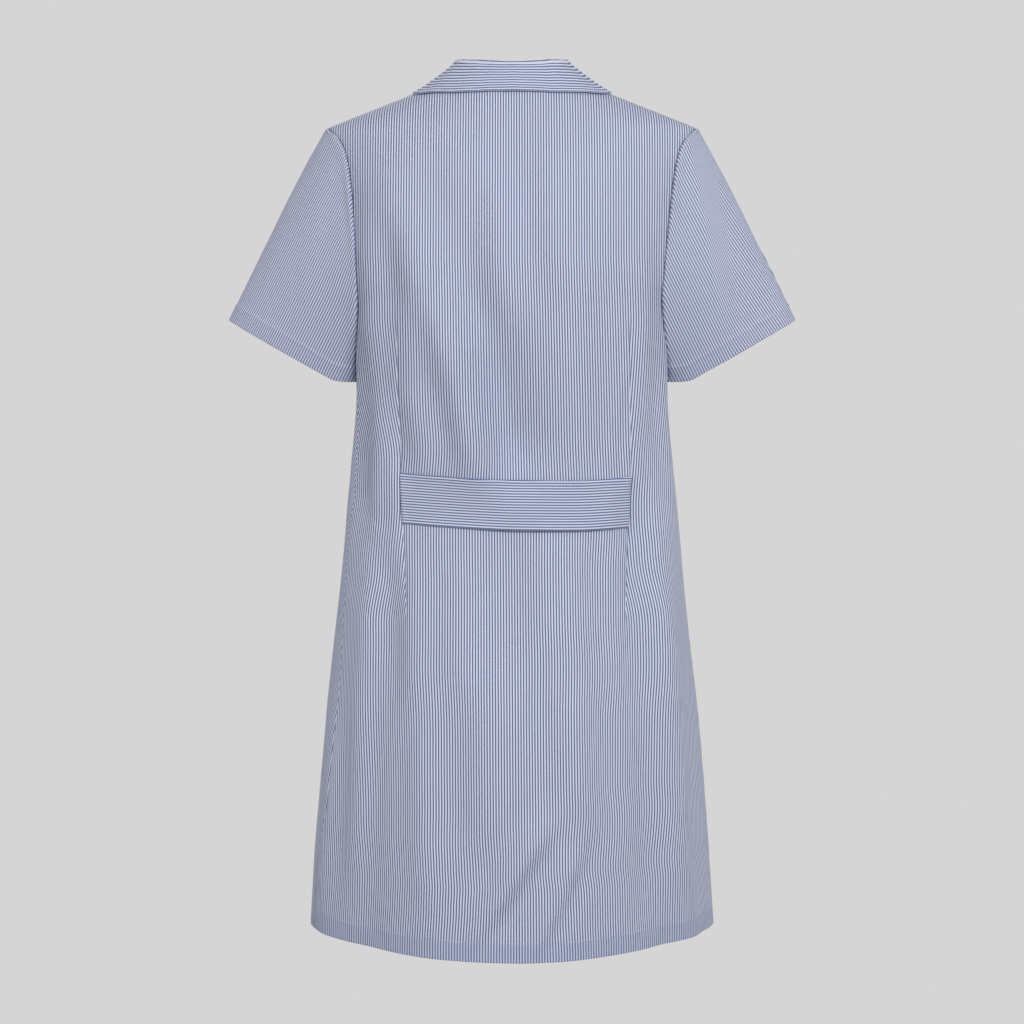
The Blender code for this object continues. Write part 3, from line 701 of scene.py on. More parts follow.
def stripedMaterial(name, blueFirst=0.0, faded=0.0, hemShare=0.22):
    facts, soft = stripeFacts, stripeFacts["softness"]
    sheen = {"Sheen_Weight": facts["sheen"], "Sheen_Roughness": 0.45, "Specular_IOR_Level": 0.18}
    made, w, shader = newMaterial(name, **sheen)
    cut = w.node("ShaderNodeUVMap", {"uv_map": "cut"})
    u, v = (w.node("ShaderNodeSeparateXYZ", (), {0: cut}, axis) for axis in (0, 1))
    # warp and weft threads of a plain weave: above 0 where the warp lies on top
    warp, weft = (w.maths("SINE", way * (math.pi / facts["yarn"])) for way in (u, v))
    over = warp * weft
    slub, weftSlub = w.stretched(cut, facts["slubs"]), w.stretched(cut, facts["weftSlubs"])
    wander = w.noise(cut, facts["wanderScale"]) - 0.5
    # the strip at the top of the armholes is striped along the seam
    fromSeam = w.attribute("fromSeam")
    strip = w.attribute("edging").between(0.2, 0.8) * (1 - fromSeam.between(*facts["edgingEnd"]))
    place = w.maths("FRACT", (u + wander * facts["wander"]) / facts["pitch"] + (facts["shift"] + blueFirst))
    along = w.maths("FRACT", fromSeam / facts["pitch"] + facts["edgingShift"])
    place = place + strip * (along - place)
    fromMiddle = w.maths("ABSOLUTE", place - 0.5) * 2
    edge = 1 - facts["blueShare"]
    stripe = faded / 2 + (1 - faded) * fromMiddle.between(edge - soft, edge + soft)
    # the weft is white throughout, so blue stripes show a little of it
    dyed = stripe * (0.96 + 0.04 * over + (slub - 0.5) * 0.05)
    colour = dyed.mix(facts["white"], facts["blue"])
    tone = 0.965 + 0.04 * w.noise(cut, 5.0, 3.0) + 0.02 * (weftSlub - 0.5)
    grey = w.node("ShaderNodeCombineColor", (), {0: tone, 1: tone, 2: tone})
    multiply = {"data_type": "RGBA", "blend_type": "MULTIPLY"}
    colour = w.node("ShaderNodeMix", multiply, {0: 1.0, 6: colour, 7: grey}, 2)
    colour = (w.attribute("layers") * hemShare).mix(colour, facts["hemTint"])
    feed(shader, colour, "Base Color")
    feed(shader, facts["roughness"] + 0.08 * (slub - 0.5), "Roughness")
    feedBump(shader, *facts["bump"], over * 0.5 + slub * 0.5 + weftSlub * 0.4)
    return made


def threadMaterial(name, colour):
    made, w, shader = newMaterial(name, Sheen_Weight=0.15, Specular_IOR_Level=0.3)
    twist = w.noise(w.node("ShaderNodeTexCoord", (), (), "Object"), 1800.0, 1.0)
    feed(shader, twist.mix(tuple(c * 0.8 for c in colour[:3]) + (1.0,), colour), "Base Color")
    feed(shader, 0.6 + 0.2 * twist, "Roughness")
    feedBump(shader, 0.3, 0.0001, twist)
    return made


def plasticMaterial(name):
    made, w, shader = newMaterial(name, Coat_Roughness=0.12, Specular_IOR_Level=0.5)
    where = w.node("ShaderNodeTexCoord", (), (), "Object")
    cloud = w.noise(where, 160.0, 4.0, 0.6)
    fine = w.noise(where, 2200.0, 2.0)
    feed(shader, cloud.between(0.3, 0.7).mix(linear(206, 212, 228), linear(232, 234, 242)), "Base Color")
    feed(shader, 0.22 + 0.14 * cloud + 0.06 * fine, "Roughness")
    feed(shader, 0.35 + 0.2 * cloud, "Coat Weight")
    feedBump(shader, 0.15, 0.0001, fine)
    return made


striped = stripedMaterial("stripedCloth")
alongStriped = stripedMaterial("stripedAcross", 0.5)
sleeveStriped = stripedMaterial("stripedSleeve", faded=0.2, hemShare=0.06)
thread = threadMaterial("whiteThread", linear(222, 226, 238))
blueThread = threadMaterial("paleBlueThread", linear(176, 188, 216))
plastic = plasticMaterial("paleButton")
print("finishes made")


backPanel = {
    "hemSteps": (0, 0.0008, 0.0025, 0.006, 0.010, 0.014, 0.0175, 0.0195, 0.0205, 0.0213, 0.0222, 0.0236,
                 0.027),
    "skirtRows": 118,
    "armholeRows": 44,
    "yokeRows": 22,
    "sideColumns": 22,
    "middleColumns": 72,
    "seamSteps": (0, 0.0005, 0.0011, 0.0020, 0.0034),
    "dartSteps": (0, 0.0007, 0.0015, 0.0030, 0.0050),
    "cut": (0.560, 0.985),
    "area": 0.4470,
}


def buildBack():
    spec = backPanel
    dartRows = dressForm["darts"]

    def rowAngles(left, right, level):
        middle, reach = float(centreBack(level)), float(read(dartRows, "reach", level))
        toLeft, toRight = (float(angleAt(middle + x, level, True)) for x in (reach, -reach))
        first = spread(left, toLeft, level, spec["sideColumns"], spec["seamSteps"], spec["dartSteps"])
        between = spread(toLeft, toRight, level, spec["middleColumns"], spec["dartSteps"], spec["dartSteps"])
        final = spread(toRight, right, level, spec["sideColumns"], spec["dartSteps"], spec["seamSteps"])
        return np.concatenate([first, between[1:], final[1:]])

    def edges(level):
        if level > dressForm["underarm"]:
            arm = float(armholeAngle(level, True))
            return arm, math.pi - arm
        return sideSeam(level, "left"), math.pi - sideSeam(level, "right")

    columns = rowAngles(0.0, math.pi, dressForm["shoulderTip"])
    across, levels = neckline(1 - np.abs(1 - columns / (math.pi / 2)), dressForm["backNeckDrop"])
    neck = angleAt(np.where(columns > math.pi / 2, -across, across), levels, True)
    angles, levels = panelGrid(spec, rowAngles, edges, dressForm["backYoke"], neck, levels)
    outline = clothPoint(angles[:, [0, -1]], levels[:, [0, -1]])
    perSide = len(spec["seamSteps"]) + spec["sideColumns"] - 1 + len(spec["dartSteps"])
    leftDart = perSide - 1
    rightDart = angles.shape[1] - perSide
    centre = (leftDart + rightDart) // 2
    intake = [(leftDart, -1), (rightDart, 1)]
    tipRow = angles.shape[0] - 1 - spec["yokeRows"]
    seams = [outline[:, 0], outline[:, 1]]
    return buildPanel("backCloth", angles, levels, seams, striped, 0.0, centre, intake, tipRow)


back = buildBack()
print("back made")


frontPanels = {
    "hemSteps": backPanel["hemSteps"],
    "skirtRows": 118,
    "armholeRows": 44,
    "yokeRows": 22,
    "columns": 60,
    "lapColumns": 5,
    "seamSteps": (0, 0.0005, 0.0011, 0.0020, 0.0034),
    "lapSteps": (0, 0.0010, 0.0025),
    "lap": 0.016,
    "lapBlend": 0.030,
    "lapGap": 0.0008,
    "wall": 0.0012,  # of the solids under the cloth
    "cut": (0.330, 0.980),
    "area": 0.2700,
}


def lapLift(angle, level):
    # the right front rises over the left one near the centre
    spec = frontPanels
    fromEdge = form(angle, level)[..., 0] + spec["lap"]
    return (spec["wall"] + spec["lapGap"]) * ease((fromEdge + spec["lapBlend"]) / spec["lapBlend"])


def frontGrid(side):
    spec = frontPanels

    def rowAngles(seam, level):
        lap = [float(angleAt(x, level, False)) for x in (spec["lap"], -spec["lap"])]
        first = spread(seam, lap[0], level, spec["columns"], spec["seamSteps"], (0.0,))
        final = spread(lap[0], lap[1], level, 2 * spec["lapColumns"], (0.0,), spec["lapSteps"])
        return np.concatenate([first, final[1:]])

    def edges(level):
        if level > dressForm["underarm"]:
            return (float(armholeAngle(level, False)),)
        return (sideSeam(level, side),)

    columns = len(spec["seamSteps"]) + spec["columns"]
    width = len(rowAngles(*edges(-0.1), -0.1))
    last = math.acos(spec["lap"] / dressForm["neckHalfWidth"]) / (math.pi / 2)
    across, levels = neckline(np.linspace(0, last, columns), dressForm["frontNeckDrop"])
    lapAcross = np.linspace(spec["lap"], -spec["lap"], width - columns + 1)[1:]
    across = np.concatenate([across, lapAcross])
    # the neckline runs on over the lap without a corner
    onLap = ease((spec["lap"] - lapAcross) / (2 * spec["lap"]))
    levels = np.concatenate([levels, levels[-1] - (dressForm["frontNeckDrop"] + levels[-1]) * onLap])
    neck = angleAt(across, levels, False)
    return panelGrid(spec, rowAngles, edges, dressForm["frontYoke"], neck, levels)


def buildFront(side):
    angles, levels = frontGrid(side)
    lift = 0.0
    if side == "right":
        angles = math.pi - angles
        lift = lapLift(angles, levels)
    seams = [clothPoint(angles[:, 0], levels[:, 0])]
    middle = angles.shape[1] - 1
    tipRow = angles.shape[0] - 1 - frontPanels["yokeRows"]
    return buildPanel(f"frontCloth_{side}", angles, levels, seams, striped, lift, middle, tipRow=tipRow)


frontLeft, frontRight = buildFront("left"), buildFront("right")
print("fronts made")


sleevePieces = {
    "hemOuter": (0.3190, -0.020, -0.2668),
    "hemInner": (0.1760, -0.031, -0.3487),
    "halfDepth": 0.034,
    "underSwing": 0.010,  # how far the underarm swings back at the hem
    "swingWidth": 0.7,
    "turnUp": 0.013,
    "turnFrom": 0.62,
    "turnCurve": 1.3,
    "square": 2.3,
    "capRound": 0.0030,
    "underRound": 0.0050,
    "roundShift": 0.6,
    "hang": {"width": 0.45, "bulge": 0.0035, "curve": 0.8, "atHem": 0.0012},  # the underarm against the body
    "pouch": {"turn": -0.40, "width": 0.30, "curve": 0.6, "shift": (-0.0050, 0.0070, 0.0)},
    "turnLimit": 0.022,
    # below the top of the armhole the sleeve dips beside the body's edge
    "dip": {"all": 0.0008, "more": 0.0040, "level": -0.128, "height": 0.040, "width": 0.009, "start": 0.003},
    "underRidge": 0.0005,
    "tuck": 0.0008,  # the edge goes this far under the body's edge
    "tuckWidth": 0.0016,
    "edging": (0.019, 0.005),  # where the turned edge shows, from the top of the armhole
    "pucker": {"pitch": 0.014, "beat": 0.061, "shift": 0, "middle": 0.015, "width": 0.008, "height": 0.00014},
    "around": 72,  # points down each half of the armhole
    "rings": 58,
    "seamSteps": (0, 0.0006, 0.0013, 0.0022, 0.0036),
    "hemBand": 0.019,
    "hemSteps": (0, 0.0008, 0.0025, 0.006, 0.010, 0.014, 0.0172, 0.0184, 0.0190, 0.0196, 0.0208, 0.024),
    "cut": (0.400, 0.245),
    "area": 0.0690,
}

# creases on the sleeves, as on the body: face, x and z at both ends, half width, height
sleeveCreases = {
    "left": [
        (1, 0.215, -0.100, 0.235, -0.200, 0.014, -0.0014),
        (1, 0.205, -0.140, 0.265, -0.290, 0.010, 0.0010),
        (1, 0.180, -0.230, 0.200, -0.330, 0.010, -0.0012),
        (-1, 0.210, -0.120, 0.240, -0.260, 0.014, -0.0014),
    ],
    "right": [
        (1, -0.206, -0.082, -0.190, -0.112, 0.0045, 0.0016),
        (1, -0.203, -0.095, -0.186, -0.125, 0.0040, -0.0012),
        (1, -0.224, -0.130, -0.222, -0.290, 0.012, -0.0022),
        (1, -0.245, -0.150, -0.265, -0.290, 0.012, 0.0012),
        (-1, -0.210, -0.120, -0.240, -0.260, 0.014, -0.0014),
    ],
}

sleeveTilts = {
    "left": [
        (1, 0.192, -0.110, 0.180, -0.270, 0.014, -0.42),
        (1, 0.216, -0.180, 0.212, -0.280, 0.010, -0.28),
        (1, 0.258, -0.220, 0.290, -0.300, 0.016, 0.22),
    ],
    "right": [
        (1, -0.187, -0.150, -0.185, -0.270, 0.009, -0.36),
        (1, -0.224, -0.130, -0.228, -0.290, 0.010, -0.36),
        (1, -0.258, -0.190, -0.285, -0.290, 0.016, 0.24),
    ],
}

# How each sleeve's stripes lie: on the left they fan out, on the right they lean outside a long trough
sleeveCuts = {
    "left": {"scale": 1.26, "from": 0.05, "blend": 0.02, "less": 0.08, "lessDown": 0.17, "down": (0.10, 0.07),
             "turned": 0.25},
    "right": {"trough": 0.0245, "slope": 0.328, "level": 0.074, "half": 0.015, "lean": 0.13, "intake": 0.030,
              "turned": 0.35},
}


def sleeveCut(side, across, along, turned):
    # distance from the sleeve's top line, with a little more where the cloth turns over
    spec = sleeveCuts[side]
    if side == "left":
        over = np.maximum(across - spec["from"], 0)
        over = over ** 2 / (over + spec["blend"])
        less = spec["less"] + spec["lessDown"] * ease((along - spec["down"][0]) / spec["down"][1])
        return spec["scale"] * across - less * over + spec["turned"] * turned
    trough = spec["trough"] + spec["slope"] * (along - spec["level"])
    within = ease((across - trough + spec["half"]) / (2 * spec["half"]))
    return across + spec["lean"] * along * (1 - within) + spec["intake"] * within + spec["turned"] * turned


def armholeRing(side):
    # points down the back of an armhole and up its front, and the distance walked along them
    down = armholeLevels(sleevePieces["around"])[::-1]
    up = down[1:-1][::-1]
    angles = np.concatenate([armholeAngle(down, True), armholeAngle(up, False)])
    angles = angles if side == "left" else math.pi - angles
    levels = np.concatenate([down, up])
    edge, out = clothPoint(angles, levels), normalsAt(angles, levels)
    steps = np.linalg.norm(edge - np.roll(edge, 1, axis=0), axis=1)
    return edge, out, np.cumsum(steps) - steps[0], np.sum(steps)


def buildSleeve(side):
    spec = sleevePieces
    hand = 1 if side == "left" else -1
    flip = np.array([hand, 1, 1])
    edge, out, walked, total = armholeRing(side)
    away = np.cross(unit(np.roll(edge, -1, axis=0) - np.roll(edge, 1, axis=0)), out) * hand
    under = spec["around"] - 1
    columns = np.arange(len(edge))
    upFront = math.pi * (1 + (walked - walked[under]) / (total - walked[under]))
    around = np.where(columns <= under, math.pi * walked / walked[under], upFront)
    fromUnder = around - math.pi
    outerEnd, innerEnd = np.array(spec["hemOuter"]), np.array(spec["hemInner"])
    lengthways, depthways = (signedPower(way(around), 2 / spec["square"]) for way in (np.cos, np.sin))
    hem = (outerEnd + innerEnd) / 2 + (outerEnd - innerEnd) / 2 * lengthways[:, None]
    inward = np.maximum(0, -lengthways - spec["turnFrom"]) / (1 - spec["turnFrom"])
    hem[:, 1] += spec["halfDepth"] * depthways + spec["underSwing"] * bell(fromUnder, spec["swingWidth"])
    hem[:, 2] += spec["turnUp"] * inward ** spec["turnCurve"]
    hem = hem * flip
    rounding = spec["capRound"] * (1 + np.cos(around)) / 2 + spec["underRound"] * (1 - np.cos(around)) / 2
    length = np.linalg.norm(hem - edge, axis=1)
    # rings lie close together at the seam and round the hem's stitching
    nearSeam = np.array(spec["seamSteps"])[:, None] / length
    nearHem = 1 - np.array(spec["hemSteps"][::-1])[:, None] / length
    share = np.linspace(0, 1, spec["rings"] + 1)[1:-1, None]
    down = np.concatenate([nearSeam, nearSeam[-1] * (1 - share) + nearHem[0] * share, nearHem])
    bulge = rounding * np.sin(math.pi * down ** spec["roundShift"])
    base = edge * (1 - down[..., None]) + hem * down[..., None] + out * bulge[..., None]
    hang, pouch, inside = spec["hang"], spec["pouch"], np.clip(down, 0, 1)
    sway = hang["bulge"] * np.sin(math.pi * inside ** hang["curve"]) + hang["atHem"] * ease(down)
    base[..., 0] -= hand * sway * bell(fromUnder, hang["width"])
    behind = bell(fromUnder - pouch["turn"], pouch["width"]) * np.sin(math.pi * inside ** pouch["curve"])
    base = base + np.array(pouch["shift"]) * flip * behind[..., None]
    facing = gridNormals(base, closed=True) * hand
    # u runs across the sleeve from its top line, so that the stripes are straight on both faces, and v up it
    axis = unit((outerEnd * flip) - edge[0])
    square = np.cross(axis, (0.0, 1.0, 0.0)) * hand
    square = square * (-1 if (hem[under] - edge[0]) @ square < 0 else 1)
    across, along = (base - edge[0]) @ square, (base - edge[0]) @ axis
    turned = np.minimum(np.abs(base[..., 1] - base[:, :1, 1]), spec["turnLimit"])
    turned[:, :under + 1] = np.maximum.accumulate(turned[:, :under + 1], axis=1)
    turned[:, under + 1:] = np.maximum.accumulate(turned[:, :under:-1], axis=1)[:, ::-1]
    u, v = sleeveCut(side, across, along, turned), -along
    after, before = np.where(columns < under, u, -u), np.where(columns <= under, u, -u)
    before[:, 0] = -u[:, 0]
    # relief: the dip at the seam, creases, unevenness and the hem
    fromSeam, fromHem = down * length, (1 - down) * length
    dip, seen = spec["dip"], facing[..., 1] >= 0
    depth = dip["all"] + dip["more"] * bell(edge[:, 2] - dip["level"], dip["height"])
    drop = depth * bell(fromSeam, dip["width"]) * ease(fromSeam / dip["start"])
    drop = drop - creaseHeight(base, sleeveCreases[side], seen)
    drop = drop - creaseHeight(base, sleeveTilts[side], seen, True) * ease(fromSeam / 0.012)
    drop = drop - ripple(np.abs(after), v, 5 + hand) * ease(fromSeam / 0.03)
    drop = drop + hemRelief(after, v, fromHem, spec["hemBand"], spec["pucker"])
    drop[:, under] += spec["underRidge"] * ease(fromSeam[:, under] / 0.004)
    tuck = (spec["tuck"] * (1 - ease(fromSeam / spec["tuckWidth"])))[..., None]
    outer = base - facing * drop[..., None] + away * tuck - out * 0.15 * tuck
    layers, thick = layersAt(fromHem, spec["hemBand"])
    inner = outer - facing * thick[..., None]
    # the cloth's turned edge shows as a narrow strip at the top of the armhole
    start, fade = spec["edging"]
    top = 1 - ease((np.minimum(walked, total - walked) - start) / fade)
    facts = {"layers": layers, "fromSeam": fromSeam, "edging": top + 0 * v}
    made = addShell(f"sleeveCloth_{side}", outer, inner, before, after, v, facts, sleeveStriped, closed=True)
    row = len(base) - 1 - spec["hemSteps"].index(spec["hemBand"])
    return made, outer[row] + facing[row] * clothFacts["lineLift"]


sleeveLeft, leftHemLine = buildSleeve("left")
sleeveRight, rightHemLine = buildSleeve("right")
print("sleeves made")


collarPiece = {
    # from the centre back (0) over the shoulder (0.45) to the front edge (1): stand height and lean,
    # outer edge's angle and level, clearance on the dress
    "profile": table("level height lean edgeAngle edgeLevel standOff", [
        (0.00, 0.0295, 0.0060, 90.0, -0.0185, 0.0026),
        (0.18, 0.0272, 0.0065, 62.0, -0.0200, 0.0024),
        (0.34, 0.0218, 0.0070, 28.5, -0.0200, 0.0018),
        (0.45, 0.0195, 0.0072, 0.0, -0.0098, 0.0014),
        (0.60, 0.0211, 0.0060, -46.0, -0.0280, 0.0022),
        (0.80, 0.0205, 0.0030, -69.0, -0.0680, 0.0028),
        (1.00, 0.0190, 0.0000, -77.0, -0.1200, 0.0032),
    ]),
    "shoulder": 0.45,
    "neckAxis": -0.018,
    "fold": 0.0022,
    "gap": 0.0008,
    "split": 0.003,
    "fallCurve": 1.3,
    "thick": 0.0012,
    "backColumns": 56,
    "frontColumns": 64,
    "standRows": 8,
    "foldRows": 9,
    "fallRows": 26,
    "stitchFromEdge": 0.0045,
    "wave": {"height": 0.0003, "pitch": 0.017, "shift": 0.6, "beat": 0.043, "width": 0.03},
    "walkRow": -10,
    "evenRun": 0.8,
    "layers": 0.35,
    "cut": (0.500, 0.095),
    "area": 0.0400,
}


def collarHalf(side):
    spec, rows = collarPiece, collarPiece["profile"]
    hand = 1 if side == "left" else -1
    shoulder = spec["shoulder"]
    behindIt = np.linspace(0, shoulder, spec["backColumns"] + 1)
    stations = np.concatenate([behindIt, np.linspace(shoulder, 1, spec["frontColumns"] + 1)[1:]])
    last = math.acos(spec["split"] / dressForm["neckHalfWidth"]) / (math.pi / 2)
    shares = np.concatenate([np.linspace(0, 0.85, spec["fallRows"] - 5), [0.90, 0.94, 0.97, 0.99, 1.0]])
    profiles = []
    for station in stations:
        behind = station < shoulder
        if behind:
            across, level = neckline(1 - station / shoulder, dressForm["backNeckDrop"])
        else:
            forward = (station - shoulder) / (1 - shoulder)
            across, level = neckline(forward * last, dressForm["frontNeckDrop"])
        seatAngle = float(angleAt(float(across), float(level), behind))
        edgeAngle = math.radians(float(read(rows, "edgeAngle", station)))
        if hand < 0:
            seatAngle, edgeAngle = math.pi - seatAngle, math.pi - edgeAngle
        edgeLevel = float(read(rows, "edgeLevel", station))
        seat = clothPoint(seatAngle, float(level))
        inward = unit(np.array([-seat[0], spec["neckAxis"] - seat[1], 0.0]))
        up = np.array([0.0, 0.0, float(read(rows, "height", station))])
        fold = seat + inward * float(read(rows, "lean", station)) + up
        raised = normalsAt(seatAngle, float(level))
        towards = unit(fold - seat)
        rise = float(towards @ raised)
        gap = unit(unit(towards - raised * rise) + raised * max(0.0, rise)) * spec["gap"]
        angles = seatAngle + (edgeAngle - seatAngle) * shares
        levels = float(level) + (edgeLevel - float(level)) * shares
        lifts = float(read(rows, "standOff", station)) * shares
        profiles.append((seat + gap, fold, clothPoint(angles, levels, lifts)))
    return profiles, shares


def buildCollar():
    spec = collarPiece
    left, shares = collarHalf("left")
    right, _ = collarHalf("right")
    stations = right[:0:-1] + left
    folds = np.array([fold for _, fold, _ in stations])
    alongs = unit(np.gradient(folds, axis=0))
    rows = []
    for (seat, fold, under), run in zip(stations, alongs):
        side = under[-1] - seat
        side = unit(side - run * float(side @ run))
        rise = np.cross(side, run)
        rise = rise if rise[2] > 0 else -rise
        centre = fold - rise * spec["fold"]
        standTop = centre - side * spec["fold"]
        fallTop = centre + side * spec["fold"]
        stand = [seat + (standTop - seat) * t for t in np.linspace(0, 1, spec["standRows"])]
        turns = np.linspace(0, math.pi, spec["foldRows"])[1:-1]
        bend = [centre + (rise * math.sin(t) - side * math.cos(t)) * spec["fold"] for t in turns]
        fall = under + (fallTop - under[0]) * ((1 - shares) ** spec["fallCurve"])[:, None]
        rows.append(stand + bend + list(fall))
    outer = np.array(rows)
    facing = gridNormals(outer)
    # slack of a worn collar, and its turned edge
    length = np.linalg.norm(np.diff(outer, axis=1), axis=-1)
    toEdge = np.cumsum(length[:, ::-1], axis=1)[:, ::-1]
    fromEdge = np.concatenate([toEdge, np.zeros((len(outer), 1))], axis=1)
    middle, crest = len(left) - 1, spec["standRows"] + spec["foldRows"] // 2
    walk = walkedOn(outer[:, spec["walkRow"]])
    walk = (walk - walk[middle])[:, None] + 0 * fromEdge
    slack = spec["wave"]
    wave = slack["height"] * np.sin(walk / slack["pitch"] + slack["shift"]) * np.sin(walk / slack["beat"])
    wave = wave * ease((slack["width"] - fromEdge) / slack["width"])
    groove = edgeGroove(fromEdge, spec)
    falling = np.arange(outer.shape[1]) > crest
    outer = outer + facing * ((wave - groove) * falling)[..., None]
    inner = outer - facing * spec["thick"]
    # stripes run along the collar, so u is the distance from its edge, evened out round to the shoulders
    fallWidth = fromEdge[:, crest][:, None]
    away = np.abs(np.arange(len(outer)) - middle)[:, None] / spec["backColumns"]
    even = 1 - ease((away - 1) / spec["evenRun"])
    u = fromEdge * (1 + even * (fallWidth[middle] / fallWidth - 1))
    made = addShell("collarCloth", outer, inner, u, u, walk, {"layers": spec["layers"] + 0 * u}, alongStriped)
    line = []
    for points, away in zip(outer + facing * clothFacts["lineLift"], fromEdge):
        line.append([np.interp(-spec["stitchFromEdge"], -away, points[:, axis]) for axis in range(3)])
    return made, np.array(line)


collar, collarLine = buildCollar()
print("collar made")


halfBelt = {
    "height": 0.055,
    "middle": table("level middle standOff", [
        (-1.0, -0.4678, 0.0000),
        (-0.5, -0.4705, 0.0030),
        (0.0, -0.4697, 0.0034),
        (0.5, -0.4668, 0.0012),
        (1.0, -0.4629, 0.0000),
    ]),
    "laidGap": 0.0008,
    "thick": 0.0012,
    "lowerShare": 1.2,
    "upperShare": 0.6,
    "rows": 26,
    "columns": 110,
    "endSteps": (0, 0.003, 0.007, 0.013, 0.022),
    "evenTo": 0.965,
    "edgeSteps": (0, 0.010, 0.03, 0.06),
    "evenFrom": 0.09,
    "sewnIn": 0.0014,  # how far its ends go down into the darts
    "sewnShare": 0.016,
    "slack": 0.0004,
    "layers": 0.35,
    "stitchFromEdge": 0.0045,
    "cut": (0.274, 0.056),
    "area": 0.0150,
}


def buildBelt():
    spec = halfBelt
    ends, steps = np.array(spec["endSteps"]), np.array(spec["edgeSteps"])
    even = np.linspace(spec["evenTo"], -spec["evenTo"], spec["columns"])
    places = np.concatenate([1 - ends, even, (ends - 1)[::-1]])
    even = np.linspace(spec["evenFrom"], 1 - spec["evenFrom"], spec["rows"])
    heights = np.concatenate([steps, even, 1 - steps[::-1]])
    place, height = np.meshgrid(places, heights)
    level = read(spec["middle"], "middle", place) + spec["height"] * (height - 0.5)
    reach = read(dressForm["darts"], "reach", level) * place
    angle = angleAt(centreBack(level) + reach, level, True)
    share = spec["lowerShare"] + (spec["upperShare"] - spec["lowerShare"]) * height
    fromEnd = 1 - np.abs(place)
    lift = spec["laidGap"] + read(spec["middle"], "standOff", place) * share
    lift = lift - spec["sewnIn"] * (1 - ease(fromEnd / spec["sewnShare"]))
    fromEdge = np.minimum(height, 1 - height) * spec["height"]
    groove = edgeGroove(fromEdge, spec)
    soft = spec["slack"] * np.sin(place * 9 + height * 2) * np.sin(place * 4.1) * ease(fromEnd / 0.1)
    roll = clothFacts["rollDepth"] * (1 - ease(fromEdge / 0.0015))
    outer = clothPoint(angle, level, lift + spec["thick"] - groove + soft - roll)
    inner = clothPoint(angle, level, lift + soft)
    u, v = walkedAlong(outer, 0), walkedAcross(outer, len(places) // 2)
    made = addShell("beltCloth", outer, inner, u, u, v, {"layers": spec["layers"] + 0 * u}, alongStriped)
    lines, inside = [], slice(2, -2)
    raised = normalsAt(angle[0, inside], level[0, inside]) * clothFacts["lineLift"]
    columns = outer.swapaxes(0, 1)[inside]
    for edge in (spec["stitchFromEdge"], spec["height"] - spec["stitchFromEdge"]):
        at = edge / spec["height"]
        line = [[np.interp(at, heights, column[:, axis]) for axis in range(3)] for column in columns]
        lines.append(np.array(line) + raised)
    return made, lines


belt, beltLines = buildBelt()
print("half belt made")


# Sizes of the stitches, by the names of the tree's sockets, and how far a run of them keeps from a seam
stitchSizes = {
    "hem": {"Stitch Length": 0.0024, "Gap": 0.0008, "Thread Radius": 0.00026, "Seed": 4},
    "edge": {"Stitch Length": 0.0020, "Gap": 0.0008, "Thread Radius": 0.00018, "Seed": 9},
}
stitchClear = 0.6  # degrees


def stitchTree():
    tree = bpy.data.node_groups.new("stitchRun", "GeometryNodeTree")
    kinds = {"Line": "Geometry", "Stitch Length": "Float", "Gap": "Float", "Thread Radius": "Float",
             "Seed": "Int", "Thread": "Material"}
    for label, kind in kinds.items():
        tree.interface.new_socket(label, in_out="INPUT", socket_type="NodeSocket" + kind)
    tree.interface.new_socket("Stitches", in_out="OUTPUT", socket_type="NodeSocketGeometry")
    w, inputs = Wire(tree), tree.nodes.new("NodeGroupInput")
    line, length, gap, radius, seed, finish = (Wire(tree, inputs.outputs[label]) for label in kinds)
    curve = w.node("GeometryNodeMeshToCurve", (), {0: line})
    even = w.node("GeometryNodeResampleCurve", {"mode": "LENGTH"}, {"Curve": curve, "Length": length + gap})
    grain = w.node("GeometryNodeMeshUVSphere", (), {"Segments": 6, "Rings": 4, "Radius": 1.0}, "Mesh")
    size = w.node("ShaderNodeCombineXYZ", (), {0: radius, 1: radius, 2: length * 0.5})
    uneven = w.node("FunctionNodeRandomValue", {"data_type": "FLOAT"}, {2: 0.86, 3: 1.08, "Seed": seed}, 1)
    scaled = w.node("ShaderNodeVectorMath", {"operation": "SCALE"}, {0: size, "Scale": uneven})
    tangent = w.node("GeometryNodeInputTangent")
    turned = w.node("FunctionNodeAlignRotationToVector", {"axis": "Z"}, {"Vector": tangent})
    placing = {"Points": even, "Instance": grain, "Rotation": turned, "Scale": scaled}
    grains = w.node("GeometryNodeInstanceOnPoints", (), placing)
    real = w.node("GeometryNodeRealizeInstances", (), {0: grains})
    done = w.node("GeometryNodeSetMaterial", (), {"Geometry": real, "Material": finish})
    feed(tree.nodes.new("NodeGroupOutput"), done, 0)
    return tree


stitchNodes = stitchTree()


def applyNodes(name, source, tree, values):
    # runs a tree on an object and keeps its result as a plain mesh
    modifier = source.modifiers.new(tree.name, "NODES")
    modifier.node_group = tree
    for item in tree.interface.items_tree:
        if item.in_out == "INPUT" and item.name in values:
            modifier[item.identifier] = values[item.name]
    depsgraph = bpy.context.evaluated_depsgraph_get()
    mesh = bpy.data.meshes.new_from_object(source.evaluated_get(depsgraph), depsgraph=depsgraph)
    source.modifiers.remove(modifier)
    bpy.data.objects.remove(source)
    mesh.name = name
    mesh.shade_smooth()
    return linked(name, mesh)


def stitchAlong(name, lines, sizes, finish):
    verts, edges = [], []
    for line, closed in lines:
        first = len(verts)
        verts += [tuple(point) for point in line]
        edges += [(n, n + 1) for n in range(first, len(verts) - 1)]
        if closed:
            edges.append((len(verts) - 1, first))
    mesh = bpy.data.meshes.new(name + "_line")
    mesh.from_pydata(verts, edges, [])
    return applyNodes(name, linked(name + "_line", mesh), stitchNodes, {**sizes, "Thread": finish})


